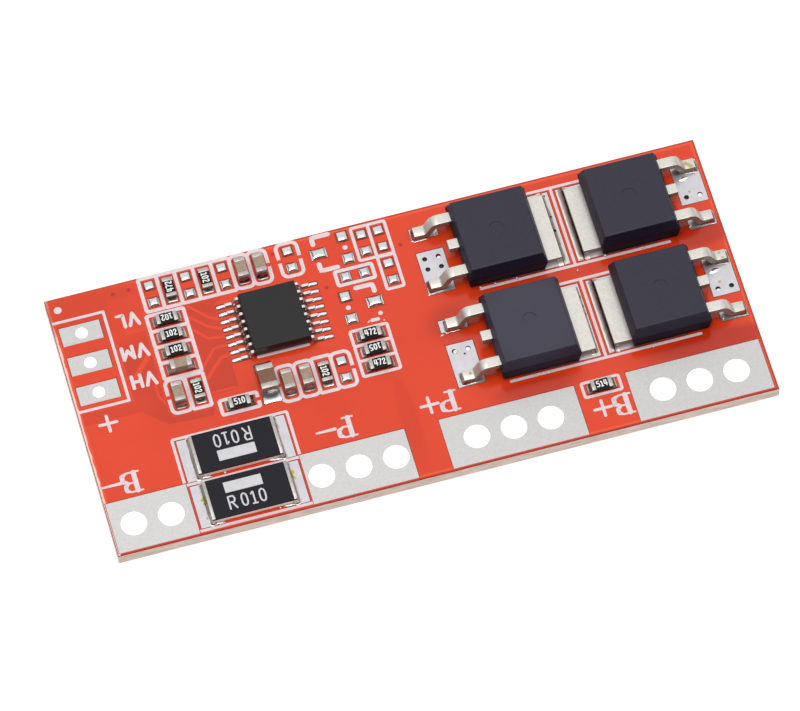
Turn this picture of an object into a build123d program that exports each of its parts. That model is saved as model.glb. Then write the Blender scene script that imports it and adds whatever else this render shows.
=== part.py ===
from build123d import *
import os

# Battery management board for a four-cell pack. Lengths are in millimetres.
# The frame's origin is the centre of the underside, +X runs along the board, +Y towards the far edge.
# Places on the board are measured from its near left corner, and at() moves them to the frame.

# Board stack, from the laminate outwards
laminate_thickness = 0.98
mask_thickness = 0.06
land_thickness = 0.05
solder_film = 0.03
legend_thickness = 0.015
mask_clearance = 0.05
mask_edge = 0.05
plating = 0.05

# Wire terminals along the near edge
terminal_margin = 0.23
terminal_side_margin = 0.15
terminal_depth = 4.17
wire_hole_diameter = 1.92
wire_hole_pitch = 2.81
battery_minus_width = 6.05
pack_minus_width = 7.94
pack_plus_width = 10.26
battery_plus_width = 10.18
plus_terminal_gap = 3.94
battery_plus_margin = 0.3

# Tap pads at the left edge
tap_pad_length = 3.05
tap_pad_width = 1.55
tap_pad_margin = 0.47
tap_pitch = 2.57
tap_hole_diameter = 0.9
tap_hole_offset = 1.56
tap_ring_diameter = 1.7

# Power transistors
body_length = 6.1
body_width = 6.6
body_height = 2.3
lower_draft = 7
upper_draft = 18
mould_mark_diameter = 1.1
mould_mark_depth = 0.04
tab_width = 5.5
tab_thickness = 0.5
tab_reach = 1.23
tab_root_gap = 0.2
lead_width = 0.82
lead_thickness = 0.5
lead_pitch = 4.57
lead_height = 1.05
lead_reach = 2.72
foot_length = 1.0
bend_run = 0.55
bend_radius = 0.5
lead_anchor = 0.7
stub_reach = 0.68
lower_left_slide = 0.25

# Lands of the transistors
tab_land_width = 6.3
tab_land_margin = 0.51
tab_land_depth = 6.0
lead_land_length = 2.04
toe_margin = 0.21
gate_land_inner = 0.41
gate_land_outer = 0.6
source_land_inner = 3.04
source_land_outer = 0.6
via_diameter = 0.38
via_ring_diameter = 0.7
via_column_gap = 1.04
via_row_gap = 0.9
via_offset = 0.15

# Current-sense resistors
shunt_length = 6.4
shunt_width = 3.2
shunt_height = 0.6
shunt_wrap_top = 0.25
shunt_wrap_bottom = 0.7
shunt_land_length = 1.75
shunt_land_width = 3.53
shunt_land_span = 8.15
shunt_gap = 0.7
shunt_web = 0.2
lower_shunt_margin = 0.7

# Controller
controller_width = 4.4
controller_length = 5.0
controller_height = 1.0
controller_standoff = 0.1
controller_draft = 8
pin_pitch = 0.66
pins_per_side = 8
pin_width = 0.25
pin_thickness = 0.15
pin_span = 6.4
pin_foot = 0.55
pin_bend_radius = 0.1
pin_anchor = 0.3
pin_shoulder = 0.15
pin_land_length = 1.38
pin_land_width = 0.32
pin_land_span = 7.66

# Small chip parts and their lands
chip_length = 1.6
chip_width = 0.8
resistor_height = 0.45
resistor_wrap_top = 0.3
resistor_wrap_bottom = 0.35
coat_thickness = 0.02
capacitor_height = 0.8
capacitor_wrap = 0.36
cap_wall = 0.04
bulk_length = 2.0
bulk_width = 1.25
bulk_height = 1.1
bulk_wrap = 0.45
chip_land_length = 0.75
chip_land_width = 0.8
chip_land_spacing = 1.42
bulk_land_length = 0.85
bulk_land_width = 1.3
bulk_land_spacing = 2.5
fillet_rise = 0.6

# Lands left empty for three-legged parts
spare_small_land = 0.85
spare_wide_land = 1.2
spare_leg_pitch = 1.9
spare_span = 2.03
solder_dome = 0.12
dome_taper = 35

# Legend
legend_line = 0.28
medium_line = 0.24
thin_line = 0.22
cell_length = 2.82
long_cell_length = 2.95
lone_cell_width = 1.58
pair_cell_width = 1.48
single_cell_width = 1.21
cell_gap = 0.3
square_corner = 0.12
round_corner = 0.42
triple_mark_out = 0.2
triple_mark_rise = 1.45
triple_mark_arm = 1.25
triple_mark_leg = 0.55
small_dot_diameter = 0.38
dash_start = 0.45
dash_end = 0.9
dash_rise = 1.15
power_frame_inset = 0.9
corner_dot_diameter = 0.58
corner_dot_x = 0.8
corner_dot_rise = 0.55

# Rows and columns, measured from part to part
left_column_x = 8.34
column_to_controller = 7.6
controller_to_right_column = 6.49
right_to_spare_column = 2.87
spare_column_to_power = 2.18
half_tab_land_gap = 0.31
power_margin = 0.36
terminal_to_transistor = 1.72
transistor_row_gap = 1.48
power_far_margin = 1.2
shunt_to_chip_row = 1.775
chip_row_to_controller = 1.925
controller_to_top_row = 1.5
control_far_margin = 0.8
top_row_places = 7
lower_row_places = 4
left_column_places = 4
right_column_places = 3
top_row_pitch = 1.38
lower_row_pitch = 1.41
left_column_pitch = 1.37
right_column_pitch = 1.3
column_to_top_row_start = 0.55
top_row_to_lone_place = 2.3
top_row_to_column = 2.45
column_to_pair_left = 0.78
column_to_pair_right = 0.7
pair_drop = 2.235
controller_to_lower_row_start = 0.39
lower_row_to_right_column = 2.22
controller_to_series_resistor = 4.24
series_resistor_drop = 0.65
charge_resistor_drop = 0.63
bulk_gap = 1.45
bulk_rise = 0.47
spare_row_drop = 0.15
spare_column_pitch = 1.3
spare_lower_drop = 3.04
spare_level_shift = 0.25
spare_level_drop = 2.58
upper_triple_shift = 0.86
lower_triple_shift = 0.05
lower_triple_drop = 0.35
middle_tap_rise = 0.48

# Across the board from left to right
controller_x = left_column_x + column_to_controller
right_column_x = controller_x + controller_to_right_column
spare_column_x = right_column_x + right_to_spare_column
tab_land_end = body_length / 2 + tab_reach + tab_land_margin
lead_land_end = body_length / 2 + lead_reach + toe_margin
transistor_offset = half_tab_land_gap + tab_land_end
mirror_x = spare_column_x + spare_column_to_power + lead_land_end + transistor_offset
board_length = mirror_x + transistor_offset + lead_land_end + power_margin

# Up the board: terminals and sense resistors stand at the near edge, and the transistors and the
# control parts hang from the far edge, so the side with the taller stack sets the width
terminal_top = terminal_margin + terminal_depth
lower_shunt_y = lower_shunt_margin + shunt_width / 2
upper_shunt_y = lower_shunt_y + shunt_width + shunt_gap
shunt_top = upper_shunt_y + shunt_width / 2
transistor_stack = 2 * body_width + transistor_row_gap + power_far_margin
top_row_stack = chip_length + control_far_margin
controller_stack = controller_length + controller_to_top_row + top_row_stack
control_stack = chip_length + chip_row_to_controller + controller_stack
board_width = max(
    terminal_top + terminal_to_transistor + transistor_stack,
    shunt_top + shunt_to_chip_row + control_stack,
)
lower_transistor_y = board_width - transistor_stack + body_width / 2
upper_transistor_y = lower_transistor_y + body_width + transistor_row_gap
lower_row_y = board_width - control_stack + chip_length / 2
controller_y = board_width - controller_stack + controller_length / 2
top_row_y = board_width - top_row_stack + chip_length / 2

# Heights above the surface that the board lies on
laminate_bottom = mask_thickness
laminate_top = laminate_bottom + laminate_thickness
pad_bottom = laminate_bottom - land_thickness
mask_top = laminate_top + mask_thickness
land_top = laminate_top + land_thickness
seat = land_top + solder_film

# Terminals: name, left end, width and number of holes
shunt_x = terminal_side_margin + battery_minus_width + shunt_web + shunt_land_span / 2
pack_minus_left = shunt_x + shunt_land_span / 2 + shunt_web
battery_plus_left = board_length - battery_plus_margin - battery_plus_width
pack_plus_left = battery_plus_left - plus_terminal_gap - pack_plus_width
terminals = [
    ("battery_minus_terminal", terminal_side_margin, battery_minus_width, 2),
    ("pack_minus_terminal", pack_minus_left, pack_minus_width, 3),
    ("pack_plus_terminal", pack_plus_left, pack_plus_width, 3),
    ("battery_plus_terminal", battery_plus_left, battery_plus_width, 3),
]
terminal_y = terminal_margin + terminal_depth / 2

# Tap pads, from the lowest cell to the highest
tap_pad_x = tap_pad_margin + tap_pad_length / 2
tap_hole_x = tap_pad_margin + tap_hole_offset
middle_tap_y = controller_y + middle_tap_rise
taps = [
    ("low_tap_pad", middle_tap_y + tap_pitch),
    ("middle_tap_pad", middle_tap_y),
    ("high_tap_pad", middle_tap_y - tap_pitch),
]

# Transistors: place of the lands, turn, rows of open vias beside the source lead, and how far the part
# has slid towards its tab on the lands
transistors = [
    ("transistor_1", mirror_x - transistor_offset, upper_transistor_y, 0, 2, 0),
    ("transistor_2", mirror_x + transistor_offset, upper_transistor_y, 180, 1, 0),
    ("transistor_3", mirror_x - transistor_offset, lower_transistor_y, 0, 1, lower_left_slide),
    ("transistor_4", mirror_x + transistor_offset, lower_transistor_y, 180, 1, 0),
]

# Chip places: top row from left to right, left column and right column from the top down
top_row_x = [left_column_x - column_to_top_row_start + k * top_row_pitch for k in range(top_row_places)]
lone_place_x = top_row_x[-1] + top_row_to_lone_place
left_column_y = [
    top_row_y - top_row_to_column - k * left_column_pitch for k in range(left_column_places)
]
pair_x = (left_column_x - column_to_pair_left, left_column_x + column_to_pair_right)
pair_y = left_column_y[-1] - pair_drop
lower_row_x = [
    controller_x - controller_to_lower_row_start + k * lower_row_pitch for k in range(lower_row_places)
]
right_column_top = lower_row_y + lower_row_to_right_column
right_column_y = [right_column_top - k * right_column_pitch for k in range(right_column_places)]
series_spot = (controller_x - controller_to_series_resistor, lower_row_y - series_resistor_drop, 0)
charge_spot = (battery_plus_left - plus_terminal_gap / 2, terminal_top - charge_resistor_drop, 0)
bulk_spot = (lower_row_x[0] - bulk_gap, lower_row_y + bulk_rise, 90)
resistors = [
    (top_row_x[1], top_row_y, 90),
    (top_row_x[3], top_row_y, 270),
    (left_column_x, left_column_y[0], 180),
    (left_column_x, left_column_y[1], 0),
    (left_column_x, left_column_y[2], 0),
    (pair_x[1], pair_y, 270),
    series_spot,
    (lower_row_x[2], lower_row_y, 270),
    (right_column_x, right_column_y[0], 0),
    (right_column_x, right_column_y[1], 180),
    (right_column_x, right_column_y[2], 0),
    charge_spot,
]
capacitors = [
    (top_row_x[5], top_row_y, 90),
    (top_row_x[6], top_row_y, 90),
    (left_column_x, left_column_y[3], 0),
    (pair_x[0], pair_y, 90),
    (lower_row_x[0], lower_row_y, 90),
    (lower_row_x[1], lower_row_y, 90),
]

# Empty places for two-ended and three-legged parts
spare_row_y = top_row_y - spare_row_drop
row_spares = [
    (top_row_x[0], top_row_y, 90),
    (top_row_x[2], top_row_y, 90),
    (top_row_x[4], top_row_y, 90),
    (lone_place_x, top_row_y, 90),
    (lower_row_x[3], lower_row_y, 90),
]
column_spares = [
    (spare_column_x - spare_column_pitch, spare_row_y, 90),
    (spare_column_x, spare_row_y, 90),
    (spare_column_x, top_row_y - spare_lower_drop, 90),
]
level_spare = (right_column_x + spare_level_shift, top_row_y - spare_level_drop, 0)
spare_pairs = row_spares + column_spares + [level_spare]
spare_triples = [
    (right_column_x - upper_triple_shift, spare_row_y, 0),
    (right_column_x + lower_triple_shift, controller_y - lower_triple_drop, 180),
]


def at(x, y, z=0):
    return (x - board_length / 2, y - board_width / 2, z)


def part_plane(x, y, turn, z=seat):
    # Level plane at a part's place, with its X turned about the upright axis
    return Plane(at(x, y, z)).rotated((0, 0, turn))


def placed(piece, spots, z=seat):
    # Copies of a piece made at the origin, one at each (x, y, turn)
    with BuildPart() as copies:
        with Locations(*[part_plane(*spot, z) for spot in spots]):
            add(piece)
    return copies.part


def turned(x, y, turn, along, across):
    # Place on the board of a point given along and across a turned part
    point = part_plane(x, y, turn, 0).from_local_coords((along, across, 0))
    return (point.X + board_length / 2, point.Y + board_width / 2)


def turned_land(x, y, turn, along, across, length, width):
    # Land rectangle as centre and size on the board, for parts that stand square to it
    place = turned(x, y, turn, along, across)
    return (*place, length, width) if turn % 180 == 0 else (*place, width, length)


def end_lands(spots, spacing, length, width):
    # The two lands of each two-ended part
    return [
        turned_land(*spot, side * spacing / 2, 0, length, width) for spot in spots for side in (-1, 1)
    ]


# Lands as (centre x, centre y, length, width)
terminal_lands = [
    (left + width / 2, terminal_y, width, terminal_depth) for name, left, width, holes in terminals
]
tap_lands = [(tap_pad_x, y, tap_pad_length, tap_pad_width) for name, y in taps]
gate_land_width = gate_land_inner + gate_land_outer
source_land_width = source_land_inner + source_land_outer
lead_land_x = lead_land_length / 2 - lead_land_end
gate_land_y = lead_pitch / 2 + (gate_land_outer - gate_land_inner) / 2
source_land_y = -lead_pitch / 2 + (source_land_inner - source_land_outer) / 2
tab_land_x = tab_land_end - tab_land_depth / 2
tab_lands, gate_lands, source_lands, vias = [], [], [], []
for name, x, y, turn, rows, slide in transistors:
    spot = (x, y, turn)
    tab_lands.append(turned_land(*spot, tab_land_x, 0, tab_land_depth, tab_land_width))
    gate_lands.append(
        turned_land(*spot, lead_land_x, gate_land_y, lead_land_length, gate_land_width)
    )
    source_lands.append(
        turned_land(*spot, lead_land_x, source_land_y, lead_land_length, source_land_width)
    )
    for row in range(rows):
        for side in (-1, 1):
            along = lead_land_x + side * via_column_gap / 2
            vias.append(turned(*spot, along, via_offset - row * via_row_gap))

shunts = [(shunt_x, upper_shunt_y, 0), (shunt_x, lower_shunt_y, 0)]
shunt_lands = end_lands(
    shunts, shunt_land_span - shunt_land_length, shunt_land_length, shunt_land_width
)
pin_rows = [
    controller_y + (row - (pins_per_side - 1) / 2) * pin_pitch for row in range(pins_per_side)
]
pins = [(controller_x, y, turn) for turn in (0, 180) for y in pin_rows]
controller_lands = [
    turned_land(*pin, (pin_land_span - pin_land_length) / 2, 0, pin_land_length, pin_land_width)
    for pin in pins
]
chip_land = (chip_land_spacing, chip_land_length, chip_land_width)
chip_lands = end_lands(resistors + capacitors, *chip_land)
bulk_lands = end_lands([bulk_spot], bulk_land_spacing, bulk_land_length, bulk_land_width)
spare_lands = end_lands(spare_pairs, *chip_land)
for triple in spare_triples:
    spare_lands.append(
        turned_land(*triple, -spare_span / 2, 0, spare_wide_land, spare_small_land)
    )
    for leg in (-1, 1):
        leg_y = leg * spare_leg_pitch / 2
        spare_lands.append(
            turned_land(*triple, spare_span / 2, leg_y, spare_small_land, spare_small_land)
        )
top_lands = terminal_lands + tap_lands + tab_lands + gate_lands + source_lands + shunt_lands
top_lands += controller_lands + chip_lands + bulk_lands + spare_lands


def terminal_hole_places(left, width, holes):
    middle = left + width / 2
    return [at(middle + (k - (holes - 1) / 2) * wire_hole_pitch, terminal_y) for k in range(holes)]


wire_holes = [
    place for name, left, width, holes in terminals for place in terminal_hole_places(left, width, holes)
]
tap_holes = [at(tap_hole_x, y) for name, y in taps]
via_holes = [at(x, y) for x, y in vias]


def rectangles(lands, grow=0, mode=Mode.ADD):
    # Lands of one size are drawn together
    for size in sorted({land[2:] for land in lands}):
        with Locations(*[at(*land[:2]) for land in lands if land[2:] == size]):
            Rectangle(size[0] + 2 * grow, size[1] + 2 * grow, mode=mode)


def circles(places, diameter, mode=Mode.ADD):
    with Locations(*places):
        Circle(diameter / 2, mode=mode)


# Laminate, drilled for every plated hole
with BuildPart() as board_laminate:
    with BuildSketch(Plane.XY.offset(laminate_bottom)):
        Rectangle(board_length, board_width)
        circles(wire_holes, wire_hole_diameter + 2 * plating, Mode.SUBTRACT)
        circles(tap_holes, tap_hole_diameter + 2 * plating, Mode.SUBTRACT)
        circles(via_holes, via_diameter + 2 * plating, Mode.SUBTRACT)
    extrude(amount=laminate_thickness)

# Solder mask on top, with a window round every land
with BuildPart() as solder_mask_top:
    with BuildSketch(Plane.XY.offset(laminate_top)):
        Rectangle(board_length - 2 * mask_edge, board_width - 2 * mask_edge)
        rectangles(top_lands, mask_clearance, Mode.SUBTRACT)
    extrude(amount=mask_thickness)

# Solder mask underneath, open at the terminals, the tap rings and the via rings
with BuildPart() as solder_mask_bottom:
    with BuildSketch(Plane.XY):
        Rectangle(board_length - 2 * mask_edge, board_width - 2 * mask_edge)
        rectangles(terminal_lands, mask_clearance, Mode.SUBTRACT)
        circles(tap_holes, tap_ring_diameter + 2 * mask_clearance, Mode.SUBTRACT)
        circles(via_holes, via_ring_diameter + 2 * mask_clearance, Mode.SUBTRACT)
    extrude(amount=mask_thickness)

# Wire terminals: a pad on each face, joined by the plating of the holes
terminal_parts = []
for (name, left, width, holes), land in zip(terminals, terminal_lands):
    places = terminal_hole_places(left, width, holes)
    with BuildPart() as terminal:
        for level in (pad_bottom, laminate_top):
            with BuildSketch(Plane.XY.offset(level)):
                rectangles([land])
                circles(places, wire_hole_diameter, Mode.SUBTRACT)
            extrude(amount=land_thickness)
        with BuildSketch(Plane.XY.offset(laminate_bottom)):
            circles(places, wire_hole_diameter + 2 * plating)
            circles(places, wire_hole_diameter, Mode.SUBTRACT)
        extrude(amount=laminate_thickness)
    terminal.part.label = name
    terminal_parts.append(terminal.part)

# Tap pads: a long pad on top and a ring underneath
for (name, y), land, hole in zip(taps, tap_lands, tap_holes):
    with BuildPart() as tap_pad:
        with BuildSketch(Plane.XY.offset(laminate_top)):
            rectangles([land])
            circles([hole], tap_hole_diameter, Mode.SUBTRACT)
        extrude(amount=land_thickness)
        with BuildSketch(Plane.XY.offset(pad_bottom)):
            circles([hole], tap_ring_diameter)
            circles([hole], tap_hole_diameter, Mode.SUBTRACT)
        extrude(amount=land_thickness)
        with BuildSketch(Plane.XY.offset(laminate_bottom)):
            circles([hole], tap_hole_diameter + 2 * plating)
            circles([hole], tap_hole_diameter, Mode.SUBTRACT)
        extrude(amount=laminate_thickness)
    tap_pad.part.label = name
    terminal_parts.append(tap_pad.part)

# Lands of the transistors, with the open vias beside each source lead
with BuildPart() as power_lands:
    with BuildSketch(Plane.XY.offset(laminate_top)):
        rectangles(tab_lands + gate_lands + source_lands)
        circles(via_holes, via_diameter, Mode.SUBTRACT)
    extrude(amount=land_thickness)
    with BuildSketch(Plane.XY.offset(pad_bottom)):
        circles(via_holes, via_ring_diameter)
        circles(via_holes, via_diameter, Mode.SUBTRACT)
    extrude(amount=land_thickness)
    with BuildSketch(Plane.XY.offset(laminate_bottom)):
        circles(via_holes, via_diameter + 2 * plating)
        circles(via_holes, via_diameter, Mode.SUBTRACT)
    extrude(amount=laminate_thickness)

# Plain lands: sense resistors, small chips, controller and empty places
plain_lands = []
for name, lands in (
    ("shunt_lands", shunt_lands),
    ("chip_lands", chip_lands + bulk_lands),
    ("controller_lands", controller_lands),
    ("spare_lands", spare_lands),
):
    with BuildPart() as land_group:
        with BuildSketch(Plane.XY.offset(laminate_top)):
            rectangles(lands)
        extrude(amount=land_thickness)
    land_group.part.label = name
    plain_lands.append(land_group.part)

# Solder left as low domes on the lands of the empty places
with BuildPart() as spare_solder:
    with BuildSketch(Plane.XY.offset(land_top)):
        rectangles(spare_lands)
    extrude(amount=solder_dome, taper=dome_taper)

# Transistor pieces at their own origin: a tab with its cut-off middle lead, two formed leads,
# and the body moulded round them
parting_height = lead_height + lead_thickness / 2
stub_top = lead_height + lead_thickness
lead_root = -body_length / 2 + lead_anchor
toe_x = -body_length / 2 - lead_reach
heel_x = toe_x + foot_length
tab_start = lead_root + tab_root_gap
tab_end = body_length / 2 + tab_reach
with BuildPart() as tab:
    with BuildSketch():
        with Locations(((tab_start + tab_end) / 2, 0)):
            Rectangle(tab_end - tab_start, tab_width)
    extrude(amount=tab_thickness)
    with BuildSketch(Plane.XZ):
        with BuildLine():
            Polyline(
                (-body_length / 2 - stub_reach, stub_top),
                (lead_root + lead_thickness, stub_top),
                (lead_root + lead_thickness, tab_thickness),
                (lead_root, tab_thickness),
                (lead_root, lead_height),
                (-body_length / 2 - stub_reach, lead_height),
                close=True,
            )
        make_face()
    extrude(amount=lead_width / 2, both=True)

with BuildPart() as leads:
    for side in (-1, 1):
        with BuildSketch(Plane.XZ.offset(side * lead_pitch / 2)):
            with BuildLine():
                FilletPolyline(
                    (lead_root, parting_height),
                    (heel_x + bend_run, parting_height),
                    (heel_x, lead_thickness / 2),
                    (toe_x, lead_thickness / 2),
                    radius=bend_radius,
                )
            trace(line_width=lead_thickness)
        extrude(amount=lead_width / 2, both=True)

with BuildPart() as body:
    for amount, draft in ((body_height - parting_height, upper_draft), (-parting_height, lower_draft)):
        with BuildSketch(Plane.XY.offset(parting_height)):
            Rectangle(body_length, body_width)
        extrude(amount=amount, taper=draft)
    with BuildSketch(Plane.XY.offset(body_height)):
        Circle(mould_mark_diameter / 2)
    extrude(amount=-mould_mark_depth, mode=Mode.SUBTRACT)
    add(tab.part, mode=Mode.SUBTRACT)
    add(leads.part, mode=Mode.SUBTRACT)

transistor_parts = []
for name, x, y, turn, rows, slide in transistors:
    for piece, part in (("tab", tab.part), ("leads", leads.part), ("body", body.part)):
        transistor_piece = placed(part, [(*turned(x, y, turn, slide, 0), turn)])
        transistor_piece.label = name + "_" + piece
        transistor_parts.append(transistor_piece)


def transistor_joints(slide):
    # Solder under and beside the leads and the tab of one transistor, standing on its lands
    with BuildPart() as joint_set:
        for side in (-1, 1):
            with BuildSketch(Plane.XZ.offset(side * lead_pitch / 2)):
                with BuildLine():
                    Polyline(
                        (-lead_land_end, 0),
                        (heel_x + slide, 0),
                        (heel_x + slide, solder_film),
                        (toe_x + slide, solder_film),
                        (toe_x + slide, solder_film + fillet_rise * lead_thickness),
                        close=True,
                    )
                make_face()
            extrude(amount=lead_width / 2, both=True)
        with BuildSketch(Plane.XZ):
            with BuildLine():
                Polyline(
                    (tab_land_end, 0),
                    (tab_land_end - tab_land_depth, 0),
                    (tab_land_end - tab_land_depth, solder_film),
                    (tab_end + slide, solder_film),
                    (tab_end + slide, solder_film + fillet_rise * tab_thickness),
                    close=True,
                )
            make_face()
        extrude(amount=tab_width / 2, both=True)
    return joint_set.part


with BuildPart() as transistor_solder:
    for name, x, y, turn, rows, slide in transistors:
        with Locations(part_plane(x, y, turn, land_top)):
            add(transistor_joints(slide))


def coated_body(length, width, height, wrap_top, wrap_bottom):
    # Flat ceramic body with its ends set back for the terminals and a coat on top
    with BuildPart() as blank:
        with BuildSketch(Plane.XZ):
            with BuildLine():
                Polyline(
                    (0, 0),
                    (length / 2 - wrap_bottom, 0),
                    (length / 2 - wrap_bottom, cap_wall),
                    (length / 2 - cap_wall, cap_wall),
                    (length / 2 - cap_wall, height - cap_wall),
                    (length / 2 - wrap_top, height - cap_wall),
                    (length / 2 - wrap_top, height + coat_thickness),
                    (0, height + coat_thickness),
                    close=True,
                )
            make_face()
            mirror(about=Plane.YZ)
        extrude(amount=width / 2, both=True)
    return blank.part


def wrapped_terminals(length, width, height, wrap_top, wrap_bottom):
    # Two terminals folded round the ends of a flat body
    with BuildPart() as pair:
        with BuildSketch(Plane.XZ):
            with BuildLine():
                Polyline(
                    (length / 2, 0),
                    (length / 2, height),
                    (length / 2 - wrap_top, height),
                    (length / 2 - wrap_top, height - cap_wall),
                    (length / 2 - cap_wall, height - cap_wall),
                    (length / 2 - cap_wall, cap_wall),
                    (length / 2 - wrap_bottom, cap_wall),
                    (length / 2 - wrap_bottom, 0),
                    close=True,
                )
            make_face()
            mirror(about=Plane.YZ)
        extrude(amount=width / 2, both=True)
    return pair.part


def end_fillets(length, width, height, land_spacing, land_length):
    # Solder at both ends: a film under the part and a slope up each end
    land_inner, land_outer = (land_spacing - land_length) / 2, (land_spacing + land_length) / 2
    with BuildPart() as pair:
        with BuildSketch(Plane.XZ):
            with BuildLine():
                Polyline(
                    (land_inner, 0),
                    (land_outer, 0),
                    (length / 2, solder_film + fillet_rise * height),
                    (length / 2, solder_film),
                    (land_inner, solder_film),
                    close=True,
                )
            make_face()
            mirror(about=Plane.YZ)
        extrude(amount=width / 2, both=True)
    return pair.part


def ceramic_block(length, width, height, wrap):
    # Ceramic block whose ends are set back inside their metal caps
    with BuildPart() as block:
        with Locations((0, 0, height / 2)):
            Box(length - 2 * wrap, width, height)
            Box(length - 2 * cap_wall, width - 2 * cap_wall, height - 2 * cap_wall)
    return block.part


def metal_caps(length, width, height, wrap):
    # Two metal cups over the ends of a ceramic block
    with BuildPart() as caps:
        with Locations((0, 0, height / 2)):
            with GridLocations(length - wrap, 0, 2, 1):
                Box(wrap, width, height)
            Box(length - 2 * cap_wall, width - 2 * cap_wall, height - 2 * cap_wall, mode=Mode.SUBTRACT)
    return caps.part


# Sense resistors: coated body with a terminal wrapped round each end
shunt_shape = (shunt_length, shunt_width, shunt_height, shunt_wrap_top, shunt_wrap_bottom)
shunt_land = (shunt_land_span - shunt_land_length, shunt_land_length)
shunt_bodies = []
for number, spot in enumerate(shunts, 1):
    shunt_body = placed(coated_body(*shunt_shape), [spot])
    shunt_body.label = f"shunt_{number}_body"
    shunt_bodies.append(shunt_body)
shunt_terminals = placed(wrapped_terminals(*shunt_shape), shunts)
shunt_solder = placed(end_fillets(*shunt_shape[:3], *shunt_land), shunts, land_top)

# Controller: two rows of gull-wing leads and a moulded body
pin_height = controller_standoff + controller_height / 2
with BuildPart() as pin_lead:
    with BuildSketch(Plane.XZ):
        with BuildLine():
            FilletPolyline(
                (controller_width / 2 - pin_anchor, pin_height),
                (controller_width / 2 + pin_shoulder, pin_height),
                (pin_span / 2 - pin_foot, pin_thickness / 2),
                (pin_span / 2, pin_thickness / 2),
                radius=pin_bend_radius,
            )
        trace(line_width=pin_thickness)
    extrude(amount=pin_width / 2, both=True)
controller_leads = placed(pin_lead.part, pins)

with BuildPart() as controller_body:
    for direction in (1, -1):
        with BuildSketch(part_plane(controller_x, controller_y, 0, seat + pin_height)):
            Rectangle(controller_width, controller_length)
        extrude(amount=direction * controller_height / 2, taper=controller_draft)
    add(controller_leads, mode=Mode.SUBTRACT)

with BuildPart() as pin_joint:
    with BuildSketch(Plane.XZ):
        with BuildLine():
            Polyline(
                (pin_land_span / 2 - pin_land_length, 0),
                (pin_land_span / 2, 0),
                (pin_span / 2, solder_film + fillet_rise * pin_thickness),
                (pin_span / 2, solder_film),
                (pin_land_span / 2 - pin_land_length, solder_film),
                close=True,
            )
        make_face()
    extrude(amount=pin_width / 2, both=True)
controller_solder = placed(pin_joint.part, pins, land_top)

# Small resistors and capacitors
resistor_shape = (chip_length, chip_width, resistor_height, resistor_wrap_top, resistor_wrap_bottom)
capacitor_shape = (chip_length, chip_width, capacitor_height, capacitor_wrap)
bulk_shape = (bulk_length, bulk_width, bulk_height, bulk_wrap)
chip_bodies = []
for kind, blank, spots in (
    ("resistor", coated_body(*resistor_shape), resistors),
    ("capacitor", ceramic_block(*capacitor_shape), capacitors),
):
    for number, spot in enumerate(spots, 1):
        chip_body = placed(blank, [spot])
        chip_body.label = f"{kind}_{number}"
        chip_bodies.append(chip_body)
bulk_capacitor = placed(ceramic_block(*bulk_shape), [bulk_spot])
resistor_terminals = placed(wrapped_terminals(*resistor_shape), resistors)
with BuildPart() as capacitor_terminals:
    add(placed(metal_caps(*capacitor_shape), capacitors))
    add(placed(metal_caps(*bulk_shape), [bulk_spot]))

# Solder at the ends of the small chips
with BuildPart() as chip_solder:
    add(placed(end_fillets(*resistor_shape[:3], *chip_land[:2]), resistors, land_top))
    add(placed(end_fillets(*capacitor_shape[:3], *chip_land[:2]), capacitors, land_top))
    add(
        placed(
            end_fillets(*bulk_shape[:3], bulk_land_spacing, bulk_land_length), [bulk_spot], land_top
        )
    )


def stroke(x0, y0, x1, y1, line=legend_line):
    # Printed line with round ends between two places
    start, end = Vector(*at(x0, y0)), Vector(*at(x1, y1))
    slot = SlotCenterToCenter((end - start).length, line, mode=Mode.PRIVATE)
    middle = (start + end) / 2
    return Pos(middle.X, middle.Y) * Rot(0, 0, Vector(1, 0).get_signed_angle(end - start)) * slot


def ring(x, y, length, width, corner=square_corner, line=legend_line, gaps=()):
    # Printed frame on its centre line, with gaps given as (along, across) places on it
    outer = RectangleRounded(length + line, width + line, corner + line / 2, mode=Mode.PRIVATE)
    inner = Rectangle(length - line, width - line, mode=Mode.PRIVATE)
    if corner > line:
        inner = RectangleRounded(length - line, width - line, corner - line / 2, mode=Mode.PRIVATE)
    frame = outer - inner
    for along, across in gaps:
        opening = Rectangle(2 * line, cell_gap, mode=Mode.PRIVATE)
        frame -= Pos(along, across) * opening
    return Pos(*at(x, y)) * frame


def dot(x, y, diameter):
    return Pos(*at(x, y)) * Circle(diameter / 2, mode=Mode.PRIVATE)


# Frames round the small chips, in rows and columns; those round capacitors have round corners
printed = []
capacitor_x = [x for x, y, turn in capacitors]
for x in top_row_x:
    rounded = x in capacitor_x
    gaps = ((top_row_pitch / 2, 0),) if rounded else ()
    corner = round_corner if rounded else square_corner
    printed.append(ring(x, top_row_y, top_row_pitch, cell_length, corner, gaps=gaps))
lone_gaps = ((-lone_cell_width / 2, 0), (lone_cell_width / 2, 0))
printed.append(ring(lone_place_x, top_row_y, lone_cell_width, cell_length, round_corner, gaps=lone_gaps))
for y in left_column_y:
    printed.append(ring(left_column_x, y, cell_length, left_column_pitch))
pair_gap = ((-pair_cell_width / 2, 0),)
printed.append(ring(pair_x[0], pair_y, pair_cell_width, cell_length, round_corner, gaps=pair_gap))
printed.append(ring(pair_x[1], pair_y, top_row_pitch, cell_length))
row_ends = {lower_row_x[0]: -1, lower_row_x[-1]: 1}
for x in lower_row_x:
    corner = round_corner if x in capacitor_x or x in row_ends else square_corner
    gaps = ((row_ends[x] * lower_row_pitch / 2, 0),) if x in row_ends else ()
    printed.append(ring(x, lower_row_y, lower_row_pitch, long_cell_length, corner, gaps=gaps))
for y in right_column_y:
    printed.append(ring(right_column_x, y, cell_length, right_column_pitch, line=medium_line))
series_gap = ((cell_length / 2, 0),)
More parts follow.
